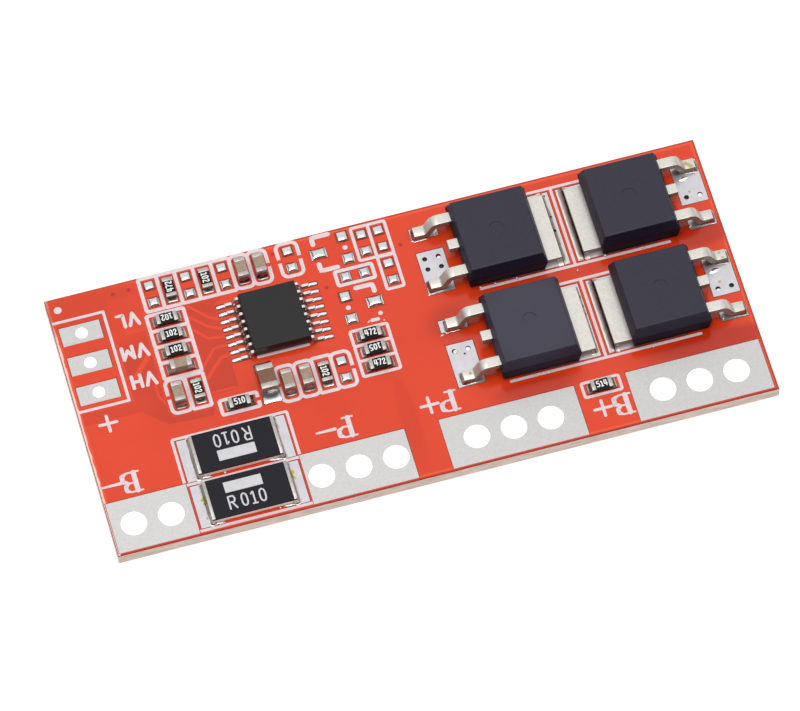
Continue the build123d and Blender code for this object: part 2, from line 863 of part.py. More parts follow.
printed.append(ring(*series_spot[:2], cell_length, single_cell_width, gaps=series_gap))
printed.append(ring(*charge_spot[:2], cell_length, single_cell_width, line=thin_line))
for x, y, turn in column_spares:
    printed.append(ring(x, y, spare_column_pitch, cell_length, line=medium_line))
printed.append(ring(*level_spare[:2], cell_length, single_cell_width))

# Corner marks and dots at the three-legged places, of which the lower one has a single mark
for triple, sides in zip(spare_triples, ((-1, 1), (-1,))):
    corner_x = -spare_span / 2 - triple_mark_out
    for side in sides:
        corner = turned(*triple, corner_x, side * triple_mark_rise)
        arm = turned(*triple, corner_x + triple_mark_arm, side * triple_mark_rise)
        leg = turned(*triple, corner_x, side * (triple_mark_rise - triple_mark_leg))
        printed += [stroke(*corner, *arm), stroke(*corner, *leg)]
    printed.append(dot(*turned(*triple, spare_span / 2, 0), small_dot_diameter))
dash_y = right_column_y[0] + dash_rise
printed.append(stroke(right_column_x + dash_start, dash_y, right_column_x + dash_end, dash_y))

# Bar at the controller, frames of the sense resistors, the transistors and the tap pads
bar_y = controller_y - controller_length / 2
bar_half = controller_width / 2 - pin_anchor
printed.append(stroke(controller_x - bar_half, bar_y, controller_x + bar_half, bar_y, medium_line))
shunt_ring_length = shunt_land_span + 2 * mask_clearance + 2 * thin_line
shunt_ring_width = shunt_width + shunt_gap
printed.append(ring(shunt_x, upper_shunt_y, shunt_ring_length, shunt_ring_width, line=thin_line))
web_half = (shunt_land_span + shunt_web) / 2
base_y = lower_shunt_y - shunt_ring_width / 2
printed.append(stroke(shunt_x - web_half, base_y, shunt_x + web_half, base_y, thin_line))
frame_half = tab_land_width / 2 + mask_clearance + thin_line
power_frame_half = transistor_offset + body_length / 2 - power_frame_inset
for y in (lower_transistor_y, upper_transistor_y):
    for line_y in (y - frame_half, y + frame_half):
        line_ends = (mirror_x - power_frame_half, line_y, mirror_x + power_frame_half, line_y)
        printed.append(stroke(*line_ends, thin_line))
    printed.append(stroke(mirror_x, y - frame_half, mirror_x, y + frame_half, thin_line))
tap_frame_x = tap_pad_margin + tap_pad_length + tap_pad_margin
tap_frame_ends = (middle_tap_y - 1.5 * tap_pitch, middle_tap_y + 1.5 * tap_pitch)
for y in tap_frame_ends:
    printed.append(stroke(thin_line, y, tap_frame_x, y, thin_line))
printed.append(stroke(tap_frame_x, tap_frame_ends[0], tap_frame_x, tap_frame_ends[1], thin_line))
printed.append(dot(corner_dot_x, top_row_y + corner_dot_rise, corner_dot_diameter))

# The legend lies on the mask alone, so it stops at every window
with BuildPart() as legend_frames:
    with BuildSketch(Plane.XY.offset(mask_top)):
        add(printed)
        rectangles(top_lands, mask_clearance, Mode.SUBTRACT)
    extrude(amount=legend_thickness)

# Name and write every piece
group_parts = {
    "board_laminate": board_laminate.part,
    "solder_mask_top": solder_mask_top.part,
    "solder_mask_bottom": solder_mask_bottom.part,
    "legend_frames": legend_frames.part,
    "power_lands": power_lands.part,
    "spare_solder": spare_solder.part,
    "transistor_solder": transistor_solder.part,
    "shunt_terminals": shunt_terminals,
    "shunt_solder": shunt_solder,
    "controller_body": controller_body.part,
    "controller_leads": controller_leads,
    "controller_solder": controller_solder,
    "resistor_terminals": resistor_terminals,
    "bulk_capacitor": bulk_capacitor,
    "capacitor_terminals": capacitor_terminals.part,
    "chip_solder": chip_solder.part,
}
for name, part in group_parts.items():
    part.label = name
all_parts = list(group_parts.values())
all_parts += terminal_parts + plain_lands + transistor_parts + shunt_bodies + chip_bodies

os.makedirs("parts", exist_ok=True)
for part in all_parts:
    export_step(part, f"parts/{part.label}.step")
print(f"board {board_length:.2f} x {board_width:.2f}, {len(all_parts)} pieces")
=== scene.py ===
import bpy, bmesh, math, random
from mathutils import Matrix, Vector


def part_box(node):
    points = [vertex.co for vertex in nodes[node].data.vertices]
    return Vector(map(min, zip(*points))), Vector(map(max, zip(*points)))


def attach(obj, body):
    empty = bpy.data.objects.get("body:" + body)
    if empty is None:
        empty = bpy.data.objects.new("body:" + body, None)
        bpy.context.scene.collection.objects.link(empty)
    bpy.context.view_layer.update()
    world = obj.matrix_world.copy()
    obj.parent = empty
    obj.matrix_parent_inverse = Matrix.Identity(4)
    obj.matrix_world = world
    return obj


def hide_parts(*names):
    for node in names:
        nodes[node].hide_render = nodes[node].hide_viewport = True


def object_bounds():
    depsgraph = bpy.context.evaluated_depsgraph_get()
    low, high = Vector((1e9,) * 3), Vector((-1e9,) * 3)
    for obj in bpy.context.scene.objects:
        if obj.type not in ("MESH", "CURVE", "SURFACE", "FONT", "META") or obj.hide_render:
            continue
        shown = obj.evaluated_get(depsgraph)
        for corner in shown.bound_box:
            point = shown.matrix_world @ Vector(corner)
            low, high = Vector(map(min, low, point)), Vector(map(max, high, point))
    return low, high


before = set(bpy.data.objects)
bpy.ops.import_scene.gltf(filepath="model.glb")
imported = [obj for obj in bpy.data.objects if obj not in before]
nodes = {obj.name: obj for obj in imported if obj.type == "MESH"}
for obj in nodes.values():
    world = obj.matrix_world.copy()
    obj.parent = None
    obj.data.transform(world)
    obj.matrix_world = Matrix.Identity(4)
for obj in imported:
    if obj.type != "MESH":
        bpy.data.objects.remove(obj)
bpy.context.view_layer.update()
mm = 0.001
scene = bpy.context.scene
print("frame loaded,", len(nodes), "nodes")

# Heights and the board's corner, read from the frame
boardLow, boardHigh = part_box("board_laminate")
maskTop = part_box("solder_mask_top")[1].z
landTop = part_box("chip_lands")[1].z


def onBoard(x, y, z=maskTop):
    # A place given in millimetres from the board's near left corner
    return Vector((boardLow.x + x * mm, boardLow.y + y * mm, z))


def middleOf(name):
    low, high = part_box(name)
    return (low + high) / 2


# Nodes
def adder(tree, prefix=""):
    # A function that adds a node. Its own settings are named in lower case; inputs are filled in order or by
    # name, with a plain value, a socket, or a node that stands for its first output
    def add(kind, *values, **settings):
        made = tree.nodes.new(prefix + kind)
        for label, value in settings.items():
            if label.islower():
                setattr(made, label, value)
        named = [(label, value) for label, value in settings.items() if not label.islower()]
        for label, value in [*enumerate(values), *named]:
            if isinstance(value, bpy.types.Node):
                value = value.outputs[0]
            if isinstance(value, bpy.types.NodeSocket):
                tree.links.new(value, made.inputs[label])
            elif value is not None:
                made.inputs[label].default_value = value
        return made

    return add


# Camera, world and lights
view = {
    "place": (-0.06075, -0.24158, 0.45517),
    "target": (-0.00095, -0.00066, 0.0011),
    "roll": -1.866,  # degrees about the line of sight
    "lens": 317.15,
    "sensor": 36.0,
    "clipStart": 0.01,
}
cameraData = bpy.data.cameras.new("photoCamera")
cameraData.lens = view["lens"]
cameraData.sensor_width = view["sensor"]
cameraData.sensor_fit = "HORIZONTAL"
cameraData.clip_start = view["clipStart"]
camera = bpy.data.objects.new("photoCamera", cameraData)
scene.collection.objects.link(camera)
camera.location = Vector(view["place"])
sight = Vector(view["target"]) - camera.location
aim = sight.to_track_quat("-Z", "Y").to_matrix().to_4x4()
camera.rotation_euler = (aim @ Matrix.Rotation(math.radians(view["roll"]), 4, "Z")).to_euler()
scene.camera = camera

studio = {
    "skyHigh": 1.10,
    "skyLow": 0.10,
    "skyAxis": (0.10, 0.40, 0.91),  # the brightest way
    "skyFrom": 0.05,
    "skyTo": 0.80,
    "floorColor": (0.30, 0.30, 0.30),
    "floorRoughness": 0.8,
    "floorGlow": 0.85,
    "floorSize": 1.2,
    "floorDrop": 2e-5,
    "keyPower": 1.2,
    "keySize": 0.26,
    "keyPlace": (-0.06, -0.02, 0.50),
}
scene.view_settings.view_transform = "Standard"
world = bpy.data.worlds.new("studio")
scene.world = world
world.use_nodes = True
addSky = adder(world.node_tree, "ShaderNode")
skyTurn = addSky("VectorMath", addSky("TexCoord").outputs["Generated"], studio["skyAxis"],
                 operation="DOT_PRODUCT")
skyRange = addSky("MapRange", skyTurn.outputs["Value"], studio["skyFrom"], studio["skyTo"],
                  studio["skyLow"], studio["skyHigh"], interpolation_type="SMOOTHSTEP")
backdrop = world.node_tree.nodes["Background"]
world.node_tree.links.new(skyRange.outputs[0], backdrop.inputs["Strength"])
backdrop.inputs["Color"].default_value = (1, 1, 1, 1)

keyData = bpy.data.lights.new("softKey", "AREA")
keyData.energy = studio["keyPower"]
keyData.size = studio["keySize"]
key = bpy.data.objects.new("softKey", keyData)
key.location = Vector(studio["keyPlace"])
key.rotation_euler = (-key.location).to_track_quat("-Z", "Y").to_euler()
scene.collection.objects.link(key)
print("camera and lights set")


# Materials
def opened(material):
    # The shader of a material, a function that adds nodes and one that feeds the shader's inputs
    tree = material.node_tree
    shader = tree.nodes["Principled BSDF"]

    def feed(label, source):
        socket = source.outputs[0] if isinstance(source, bpy.types.Node) else source
        tree.links.new(socket, shader.inputs[label])

    return shader, adder(tree, "ShaderNode"), feed


def newSurface(name, color, roughness, metallic=0.0, specular=0.5):
    material = bpy.data.materials.new(name)
    material.use_nodes = True
    shader, add, feed = opened(material)
    shader.inputs["Base Color"].default_value = (*color, 1)
    shader.inputs["Roughness"].default_value = roughness
    shader.inputs["Metallic"].default_value = metallic
    shader.inputs["Specular IOR Level"].default_value = specular
    return material, shader, add, feed


def toned(add, share, stops):
    # A color picked by a share from stops, each a place and a tone
    ramp = add("ValToRGB", share)
    elements = ramp.color_ramp.elements
    elements.remove(elements[1])
    for k, (place, tone) in enumerate(stops):
        stop = elements[0] if k == 0 else elements.new(place)
        stop.position = place
        stop.color = (*tone, 1)
    return ramp.outputs[0]


def blended(add, share, lower, upper):
    # The mix node's two colors are its inputs 6 and 7
    return add("Mix", share, *[None] * 5, lower, upper, data_type="RGBA").outputs[2]


def coated(shader, add, feed, share, color):
    # Lays a color over what feeds the shader's base color
    below = shader.inputs["Base Color"].links[0].from_socket
    feed("Base Color", blended(add, share, below, (*color, 1)))


# Scales of the noises, per metre
noises = {"stain": 4000.0, "band": 2600.0, "seam": 3500.0, "cloud": 110.0, "fringe": 1600.0, "ripple": 900.0}


def speckled(name, light, dark, scale, roughness, metallic=0.0, bump=0.0, bumpScale=None,
             spread=(0.35, 0.65), stretch=(1, 1, 1), specular=0.5, roughSpread=0.0):
    # Two tones mixed by noise, with finer noise as bump and a little change of gloss
    material, shader, add, feed = newSurface(name, light, roughness, metallic, specular)
    place = add("Mapping", add("TexCoord").outputs["Object"], Scale=stretch)
    grain = add("TexNoise", place, Scale=scale, Detail=6.0)
    feed("Base Color", toned(add, grain, zip(spread, (dark, light))))
    if bump:
        fine = add("TexNoise", place, Scale=bumpScale or scale, Detail=5.0)
        feed("Normal", add("Bump", Strength=1.0, Distance=bump, Height=fine))
    if roughSpread:
        feed("Roughness", add("MapRange", grain, 0, 1, roughness - roughSpread, roughness + roughSpread))
    return material


def withSpots(material, spots, ragged=0.5, full=0.7, gone=1.15):
    # Stains mixed over a surface, each a place on the board, a radius and a color; they fade out between two
    # shares of the radius
    shader, add, feed = opened(material)
    where = add("TexCoord").outputs["Object"]
    flat = add("Mapping", where, Scale=(1, 1, 0))
    grain = add("TexNoise", where, Scale=noises["stain"])
    for x, y, radius, color in spots:
        place = onBoard(x, y)
        away = add("VectorMath", flat, (place.x, place.y, 0), operation="DISTANCE").outputs["Value"]
        torn = add("Math", grain, ragged * 2 * radius * mm, away, operation="MULTIPLY_ADD")
        fade = add("MapRange", torn, (full + ragged) * radius * mm, (gone + ragged) * radius * mm, 1, 0,
                   interpolation_type="SMOOTHSTEP")
        coated(shader, add, feed, fade, color)
    return material


def shaded(material, patches, inner=0.45):
    # Soft tones laid over a surface, each a place on the board, a reach each way, a color and a strength;
    # each is full up to inner, a share of its reach
    shader, add, feed = opened(material)
    where = add("TexCoord").outputs["Object"]
    for x, y, reachX, reachY, color, strength in patches:
        place = onBoard(x, y)
        spread = (1 / (reachX * mm), 1 / (reachY * mm), 0)
        near = add("Mapping", where, Scale=spread, Location=(-place.x * spread[0], -place.y * spread[1], 0))
        away = add("VectorMath", near, operation="LENGTH").outputs["Value"]
        fade = add("MapRange", away, inner, 1, strength, 0, interpolation_type="SMOOTHSTEP")
        coated(shader, add, feed, fade, color)
    return material


def banded(name, start, end, stops, roughness, metallic, ragged=0.14, bump=4e-6):
    # Tones laid along X from one place to another, given as shares of the way, with a ragged edge
    material, shader, add, feed = newSurface(name, stops[-1][1], roughness, metallic)
    where = add("TexCoord").outputs["Object"]
    grain = add("TexNoise", where, Scale=noises["band"], Detail=5.0)
    along = add("MapRange", add("SeparateXYZ", where), start, end, -ragged / 2, 1 - ragged / 2)
    torn = add("Math", grain, ragged, along, operation="MULTIPLY_ADD")
    feed("Base Color", toned(add, torn, stops))
    feed("Normal", add("Bump", Strength=1.0, Distance=bump, Height=grain))
    return material


def withWalls(material, color, glow=0.0, steep=0.5, level="LESS_THAN"):
    # Another tone on the upright faces, such as the walls of holes, or on the level ones instead; a glow on
    # them is painted light
    shader, add, feed = opened(material)
    lift = add("SeparateXYZ", add("NewGeometry").outputs["True Normal"]).outputs["Z"]
    upright = add("Math", add("Math", lift, operation="ABSOLUTE"), steep, operation=level)
    coated(shader, add, feed, upright, color)
    feed("Metallic", add("MapRange", upright, 0, 1, shader.inputs["Metallic"].default_value, 0))
    if glow:
        feed("Emission Strength", add("MapRange", upright, 0, 1, 0, glow))
        shader.inputs["Emission Color"].default_value = (1, 1, 1, 1)
    return material


def dullBelow(material, low, level=0.5):
    # Less gloss on faces that look down to the board
    shader, add, feed = opened(material)
    gloss = shader.inputs["Specular IOR Level"].default_value
    lift = add("SeparateXYZ", add("NewGeometry").outputs["Normal"]).outputs["Z"]
    feed("Specular IOR Level", add("MapRange", lift, 0, level, low, gloss))
    return material


def layered(name, upper, lower, seam, roughness, ragged=0.00004):
    # A coat above a height and a bare ceramic below it
    material, shader, add, feed = newSurface(name, upper, roughness, specular=0.2)
    where = add("TexCoord").outputs["Object"]
    grain = add("TexNoise", where, Scale=noises["seam"], Detail=4.0)
    torn = add("Math", grain, ragged, add("SeparateXYZ", where).outputs["Z"], operation="MULTIPLY_ADD")
    above = add("Math", torn, seam, operation="GREATER_THAN")
    feed("Base Color", blended(add, above, (*lower, 1), (*upper, 1)))
    return material


film = {
    "light": (0.63, 0.041, 0.007),
    "dark": (0.59, 0.037, 0.006),
    "spread": (0.38, 0.62),
    "roughness": 0.17,
    "specular": 0.42,
    "reach": 0.0004,  # of the tones at the edge, in metres
    "inner": 0.98,
    "scuff": (0.78, 0.50, 0.45),
    "scuffWidth": 0.00020,
    "ripple": 0.12,
    "bump": 1.2e-5,
}


def maskMaterial(name, stops):
    # Glossy film; the stops are its tones from the board's edge inwards, where it dips beside the copper,
    # and a scuffed fringe runs along the left edge
    material, shader, add, feed = newSurface(name, film["light"], film["roughness"], specular=film["specular"])
    where = add("TexCoord").outputs["Object"]
    cloud = add("TexNoise", where, Scale=noises["cloud"], Detail=4.0)
    clouded = toned(add, cloud, zip(film["spread"], (film["dark"], film["light"])))
    half = (boardHigh - boardLow) / 2
    split = add("SeparateXYZ", where)
    gaps = [add("Math", size, add("Math", split.outputs[axis], operation="ABSOLUTE"), operation="SUBTRACT")
            for axis, size in (("X", half.x), ("Y", half.y))]
    inward = add("MapRange", add("Math", *gaps, operation="MINIMUM"), 0, film["reach"])
    inner = add("Math", inward, film["inner"], operation="GREATER_THAN")
    plain = blended(add, inner, toned(add, inward, stops), clouded)
    fringe = add("TexNoise", where, Scale=noises["fringe"], Detail=5.0)
    worn = add("Math", fringe, film["scuffWidth"], film["scuffWidth"] / 2 - half.x, operation="MULTIPLY_ADD")
    outside = add("Math", split, worn, operation="LESS_THAN")
    feed("Base Color", blended(add, outside, plain, (*film["scuff"], 1)))
    ripple = add("TexNoise", where, Scale=noises["ripple"], Detail=2.0)
    height = add("Math", ripple, film["ripple"], inward, operation="MULTIPLY_ADD")
    feed("Normal", add("Bump", Strength=1.0, Distance=film["bump"], Height=height))
    return material


maskRed = maskMaterial("solderMaskRed", (
    (0.0, (0.58, 0.05, 0.02)), (0.14, (0.48, 0.022, 0.006)), (0.34, (0.48, 0.022, 0.006)),
    (0.55, (0.72, 0.085, 0.022)), (1.0, film["light"])))
# darker patches on the red film: the deepest, in front of and between the transistors and by the right edge,
# are painted shade and painted reflections of the transistors' dark bodies; the others are darker tones at the
# top left, beside the lower left gate foot and in a band along x 23.3
paintedShadeRed = (0.40, 0.018, 0.003)
shaded(maskRed, [(3.0, 20.6, 5.5, 3.2, (0.54, 0.034, 0.004), 0.9), (48.3, 14.2, 3.0, 1.7, paintedShadeRed, 0.85),
                 (46.5, 5.1, 6.5, 1.3, paintedShadeRed, 0.9), (33.0, 5.0, 4.2, 1.1, paintedShadeRed, 0.7),
                 (28.3, 12.0, 2.2, 2.0, (0.47, 0.026, 0.005), 0.9), (38.8, 13.6, 12.0, 0.9, paintedShadeRed, 0.35),
                 (23.3, 5.0, 0.9, 5.0, (0.52, 0.03, 0.005), 0.6)])
# painted shade: the board is darkened between the controller's pins, along each side of its body
pinShade = {"beside": 0.12, "reachX": 0.62, "reachY": 3.1, "color": (0.03, 0.006, 0.006), "strength": 0.92}
chipLow, chipHigh = [(corner - boardLow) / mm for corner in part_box("controller_body")]
for x in (chipLow.x - pinShade["beside"], chipHigh.x + pinShade["beside"]):
    shaded(maskRed, [(x, (chipLow.y + chipHigh.y) / 2, pinShade["reachX"], pinShade["reachY"],
                      pinShade["color"], pinShade["strength"])])
maskOnCopper = speckled("maskOverCopper", (0.66, 0.046, 0.009), (0.62, 0.042, 0.008), 120, 0.17,
                        bump=1.5e-6, bumpScale=900, specular=0.42)
maskBare = speckled("maskOverLaminate", (0.51, 0.031, 0.006), (0.47, 0.028, 0.005), 120, 0.18,
                    bump=1.5e-6, bumpScale=900, specular=0.42)
shaded(maskBare, [(5.2, 19.3, 3.2, 3.6, (0.60, 0.038, 0.007), 0.9),
                  (2.2, 11.6, 4.5, 1.8, (0.58, 0.036, 0.007), 0.6)])
maskDeep = speckled("maskInHollow", (0.42, 0.012, 0.005), (0.38, 0.011, 0.004), 900, 0.25, specular=0.4)
laminateCream = speckled("laminateCream", (0.80, 0.65, 0.56), (0.62, 0.46, 0.39), 700, 0.6, bump=1.2e-5,
                         bumpScale=900, stretch=(1, 1, 7))
withWalls(laminateCream, (0.20, 0.022, 0.010), level="GREATER_THAN")
# painted light: the upright walls of the terminals' and tap pads' holes are white and glow, standing in for
# light coming through the holes
padTin = withWalls(speckled("padTin", (0.50, 0.49, 0.48), (0.44, 0.435, 0.425), 7000, 0.42, 0.7, bump=1.2e-6,
                            bumpScale=8000, spread=(0.3, 0.7)), (0.95, 0.95, 0.95), 0.35)
landTin = speckled("landTin", (0.55, 0.535, 0.56), (0.50, 0.485, 0.51), 1500, 0.3, 0.8, bump=1e-6)
# painted shade: the upright faces of the power lands, the walls of their vias among them, are painted near
# black
powerTin = withWalls(speckled("powerTin", (0.58, 0.565, 0.59), (0.53, 0.515, 0.54), 1500, 0.3, 0.8, bump=1e-6),
                     (0.012, 0.006, 0.008))
landBrown = speckled("landBrown", (0.32, 0.14, 0.07), (0.12, 0.03, 0.02), 2200, 0.4, 0.15, bump=2e-6)
solderBright = speckled("solderBright", (0.84, 0.85, 0.86), (0.74, 0.75, 0.76), 1700, 0.20, 1.0, bump=1.2e-6,
                        bumpScale=1500, roughSpread=0.05)
solderPillow = speckled("solderPillow", (0.62, 0.635, 0.645), (0.55, 0.565, 0.575), 1300, 0.24, 1.0, bump=1e-6,
                        bumpScale=1500, roughSpread=0.04)
solderSoft = speckled("solderSoft", (0.70, 0.68, 0.68), (0.42, 0.38, 0.36), 1100, 0.26, 1.0, bump=3e-6,
                      bumpScale=1500)
ballTin = speckled("ballTin", (0.92, 0.92, 0.92), (0.80, 0.80, 0.80), 1500, 0.3, 0.35)
solderDull = speckled("solderDull", (0.56, 0.50, 0.48), (0.26, 0.19, 0.17), 1500, 0.24, 1.0, bump=8e-6,
                      bumpScale=2300, roughSpread=0.08)
# painted shade and painted reflection of the red board: the upright faces of the leads and tabs are painted a
# dull brown
leadTin = withWalls(speckled("leadTin", (0.62, 0.60, 0.56), (0.54, 0.52, 0.48), 5200, 0.40, 0.8, bump=3e-6,
                             bumpScale=7000, spread=(0.3, 0.7)), (0.30, 0.20, 0.15), steep=0.3)
pinTin = speckled("pinTin", (0.80, 0.80, 0.79), (0.66, 0.66, 0.64), 4000, 0.22, 1.0, bump=3e-6)
endTin = speckled("endTin", (0.44, 0.425, 0.40), (0.34, 0.325, 0.30), 5200, 0.38, 0.8, bump=4e-6)
mouldSlate = speckled("mouldSlate", (0.018, 0.015, 0.032), (0.013, 0.011, 0.024), 9000, 0.46, bump=7e-6,
                      bumpScale=5200, specular=0.33)
dullBelow(mouldSlate, 0.03)
# the sky shines on one transistor's top more than on the others
paleMould = {"reach": 5.4, "color": (0.030, 0.027, 0.047)}
paleMiddle = (middleOf("transistor_3_body") - boardLow) / mm
shaded(mouldSlate, [(*paleMiddle.xy, paleMould["reach"], paleMould["reach"], paleMould["color"], 1)])
mouldBlack = speckled("mouldBlack", (0.008, 0.0075, 0.0085), (0.005, 0.0045, 0.0055), 9000, 0.44, bump=5e-6,
                      bumpScale=7000, specular=0.30)
coatBlack = speckled("coatBlack", (0.004, 0.004, 0.005), (0.002, 0.002, 0.003), 5000, 0.34, bump=1e-6,
                     specular=0.2)
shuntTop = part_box("shunt_1_body")[1].z
coatDepth = 0.24  # millimetres that the coat reaches down the sides
shuntCoat = layered("shuntCoat", (0.004, 0.004, 0.009), (1.0, 0.90, 0.82), shuntTop - coatDepth * mm, 0.34)
ceramicTan = speckled("ceramicTan", (0.32, 0.225, 0.16), (0.26, 0.18, 0.125), 4000, 0.42, bump=2e-6)
ceramicBrown = speckled("ceramicBrown", (0.165, 0.070, 0.028), (0.13, 0.052, 0.02), 4000, 0.42, bump=2e-6)
inkWhite = speckled("inkWhite", (0.67, 0.56, 0.58), (0.61, 0.50, 0.52), 2500, 0.5, bump=3e-6)
figureWhite = speckled("figureWhite", (0.82, 0.82, 0.80), (0.74, 0.74, 0.72), 2500, 0.5, bump=2e-6)
barWhite = speckled("barWhite", (0.545, 0.535, 0.545), (0.50, 0.49, 0.50), 2500, 0.5, bump=1e-6)

fluxOchre, fluxOlive, burntBrown = (0.42, 0.34, 0.10), (0.40, 0.38, 0.13), (0.05, 0.025, 0.02)
withSpots(leadTin, [(48.78, 19.87, 0.16, fluxOchre), (49.04, 19.6, 0.20, fluxOlive),
                    (48.93, 11.88, 0.12, fluxOlive), (49.08, 11.45, 0.10, fluxOchre),
                    (28.55, 7.2, 0.14, fluxOchre)])
withSpots(solderSoft, [(13.74, 3.2, 0.26, fluxOlive), (13.76, 2.8, 0.20, fluxOchre),
                       (7.15, 2.8, 0.24, fluxOlive), (7.17, 2.4, 0.18, fluxOchre)])
withSpots(landTin, [(13.87, 3.2, 0.24, fluxOchre), (13.91, 2.7, 0.18, fluxOlive), (7.12, 2.75, 0.22, fluxOlive),
                    (7.07, 1.23, 0.14, fluxOchre)])
withSpots(powerTin, [(48.37, 9.81, 0.12, fluxOlive), (28.66, 9.19, 0.09, burntBrown),
                     (48.45, 17.75, 0.09, fluxOlive), (28.05, 9.53, 0.21, fluxOlive)])
shaded(powerTin, [(47.95, y, 0.5, 0.36, (0.14, 0.09, 0.08), 0.8) for y in (19.62, 11.57)])


def paint(material, *names):
    for name in names:
        slots = nodes[name].data.materials
        if not len(slots):
            slots.append(material)
        for k in range(len(slots)):
            slots[k] = material


paint(laminateCream, "board_laminate")
paint(maskRed, "solder_mask_top", "solder_mask_bottom")
paint(inkWhite, "legend_frames")
paint(padTin, *[n for n in nodes if n.endswith(("_terminal", "_tap_pad"))])
paint(landTin, "shunt_lands")
paint(powerTin, "power_lands")
paint(landBrown, "spare_lands", "chip_lands", "controller_lands")
print("materials on the frame")


# Helpers that finish a piece
def finished(name, mesh, material, replaced=(), smooth=35):
    # A plain mesh becomes a piece that rides on the board
    piece = bpy.data.objects.new(name, mesh)
    scene.collection.objects.link(piece)
    if material:
        mesh.materials.clear()
        mesh.materials.append(material)
    mesh.shade_smooth()
    mesh.set_sharp_from_angle(angle=math.radians(smooth))
    even = piece.modifiers.new("even", "WEIGHTED_NORMAL")
    even.keep_sharp = True
    evenMesh = bpy.data.meshes.new_from_object(piece.evaluated_get(bpy.context.evaluated_depsgraph_get()))
    piece.modifiers.remove(even)
    piece.data = evenMesh
    bpy.data.meshes.remove(mesh)
    evenMesh.name = name
    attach(piece, "root")
    if replaced:
        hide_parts(*replaced)


def softened(name, sources, material, slot, width, segments=2, angle=25, shortest=0.0, clamp=True):
    # A copy of CAD nodes with rounded edges takes their place; edges under shortest stay sharp
    work = bmesh.new()
    for source in sources:
        work.from_mesh(nodes[source].data)
    bmesh.ops.remove_doubles(work, verts=work.verts, dist=2e-7)
    bmesh.ops.dissolve_limit(work, angle_limit=math.radians(2), verts=work.verts, edges=work.edges)
    sharp = [e for e in work.edges if e.is_manifold and e.calc_face_angle(0) > math.radians(angle)
             and e.calc_length() > shortest * mm]
    bmesh.ops.bevel(work, geom=sharp, offset=width * mm, segments=segments, affect="EDGES",
                    profile=0.6, clamp_overlap=clamp)
    mesh = bpy.data.meshes.new(name)
    work.to_mesh(mesh)
    work.free()
    finished(name, mesh, material, sources)


def addRings(work, rings):
    # A closed solid drawn through rings of points, given in millimetres on its own place
    rows = [[work.verts.new(Vector(p) * mm) for p in ring] for ring in rings]
    count = len(rows[0])
    for a, b in zip(rows, rows[1:]):
        for k in range(count):
            work.faces.new((a[k], a[(k + 1) % count], b[(k + 1) % count], b[k]))
    work.faces.new(rows[0][::-1])
    work.faces.new(rows[-1])


def meshFrom(name, work):
    bmesh.ops.recalc_face_normals(work, faces=work.faces)
    mesh = bpy.data.meshes.new(name)
    work.to_mesh(mesh)
    work.free()
    return mesh


def moundRings(outline, height, across=8, along=8):
    # Rings of a low mound: outline gives x and y, and height gives z, over u and v from -1 to 1
    rings = []
    for i in range(along + 1):
        u = -1 + 2 * i / along
        top = []
        for j in range(across + 1):
            v = -1 + 2 * j / across
            x, y = outline(u, v)
            top.append((x, y, height(u, v)))
        rings.append(top + [(top[-1][0], top[-1][1], 0), (top[0][0], top[0][1], 0)])
    return rings


# Geometry Nodes: one tree sets shapes on points, another draws strokes with round ends
def newTree(name, inputs):
    # A tree and what it is given, a function that adds nodes, and one that paints and hands out the drawing
    tree = bpy.data.node_groups.new(name, "GeometryNodeTree")
    tree.interface.new_socket("Geometry", in_out="INPUT", socket_type="NodeSocketGeometry")
    for label, kind in inputs:
        tree.interface.new_socket(label, in_out="INPUT", socket_type="NodeSocket" + kind)
    tree.interface.new_socket("Geometry", in_out="OUTPUT", socket_type="NodeSocketGeometry")
    add = adder(tree)
    given, result = add("NodeGroupInput").outputs, add("NodeGroupOutput").inputs

    def handOut(drawing):
        real = add("GeometryNodeRealizeInstances", drawing)
        painted = add("GeometryNodeSetMaterial", Geometry=real, Material=given["Finish"])
        tree.links.new(painted.outputs[0], result[0])

    return tree, given, add, handOut


def attribute(add, label, kind):
    return add("GeometryNodeInputNamedAttribute", label, data_type=kind).outputs["Attribute"]


def scatterTree():
    # Shape on every point, turned and stretched by the point's own values and a little chance
    tree, given, add, handOut = newTree(
        "setOnPoints", (("Shape", "Object"), ("Finish", "Material"), ("Seed", "Int"),
                        ("Turn Chance", "Float"), ("Size Chance", "Float")))
    shape = add("GeometryNodeObjectInfo", given["Shape"], transform_space="ORIGINAL")
    chances = []
    for label, offset in (("Turn Chance", 0), ("Size Chance", 7)):
        below = add("ShaderNodeMath", given[label], -1, operation="MULTIPLY")
        seed = add("ShaderNodeMath", given["Seed"], offset, operation="ADD")
        chance = add("FunctionNodeRandomValue", None, None, below, given[label], Seed=seed, data_type="FLOAT")
        chances.append(chance.outputs[1])
    turn = add("ShaderNodeMath", attribute(add, "turn", "FLOAT"), chances[0], operation="ADD")
    whole = add("ShaderNodeMath", chances[1], 1, operation="ADD")
    size = add("ShaderNodeVectorMath", attribute(add, "stretch", "FLOAT_VECTOR"), Scale=whole,
               operation="SCALE")
    handOut(add("GeometryNodeInstanceOnPoints", Points=given["Geometry"], Instance=shape.outputs["Geometry"],
                Rotation=add("ShaderNodeCombineXYZ", Z=turn), Scale=size))
    return tree


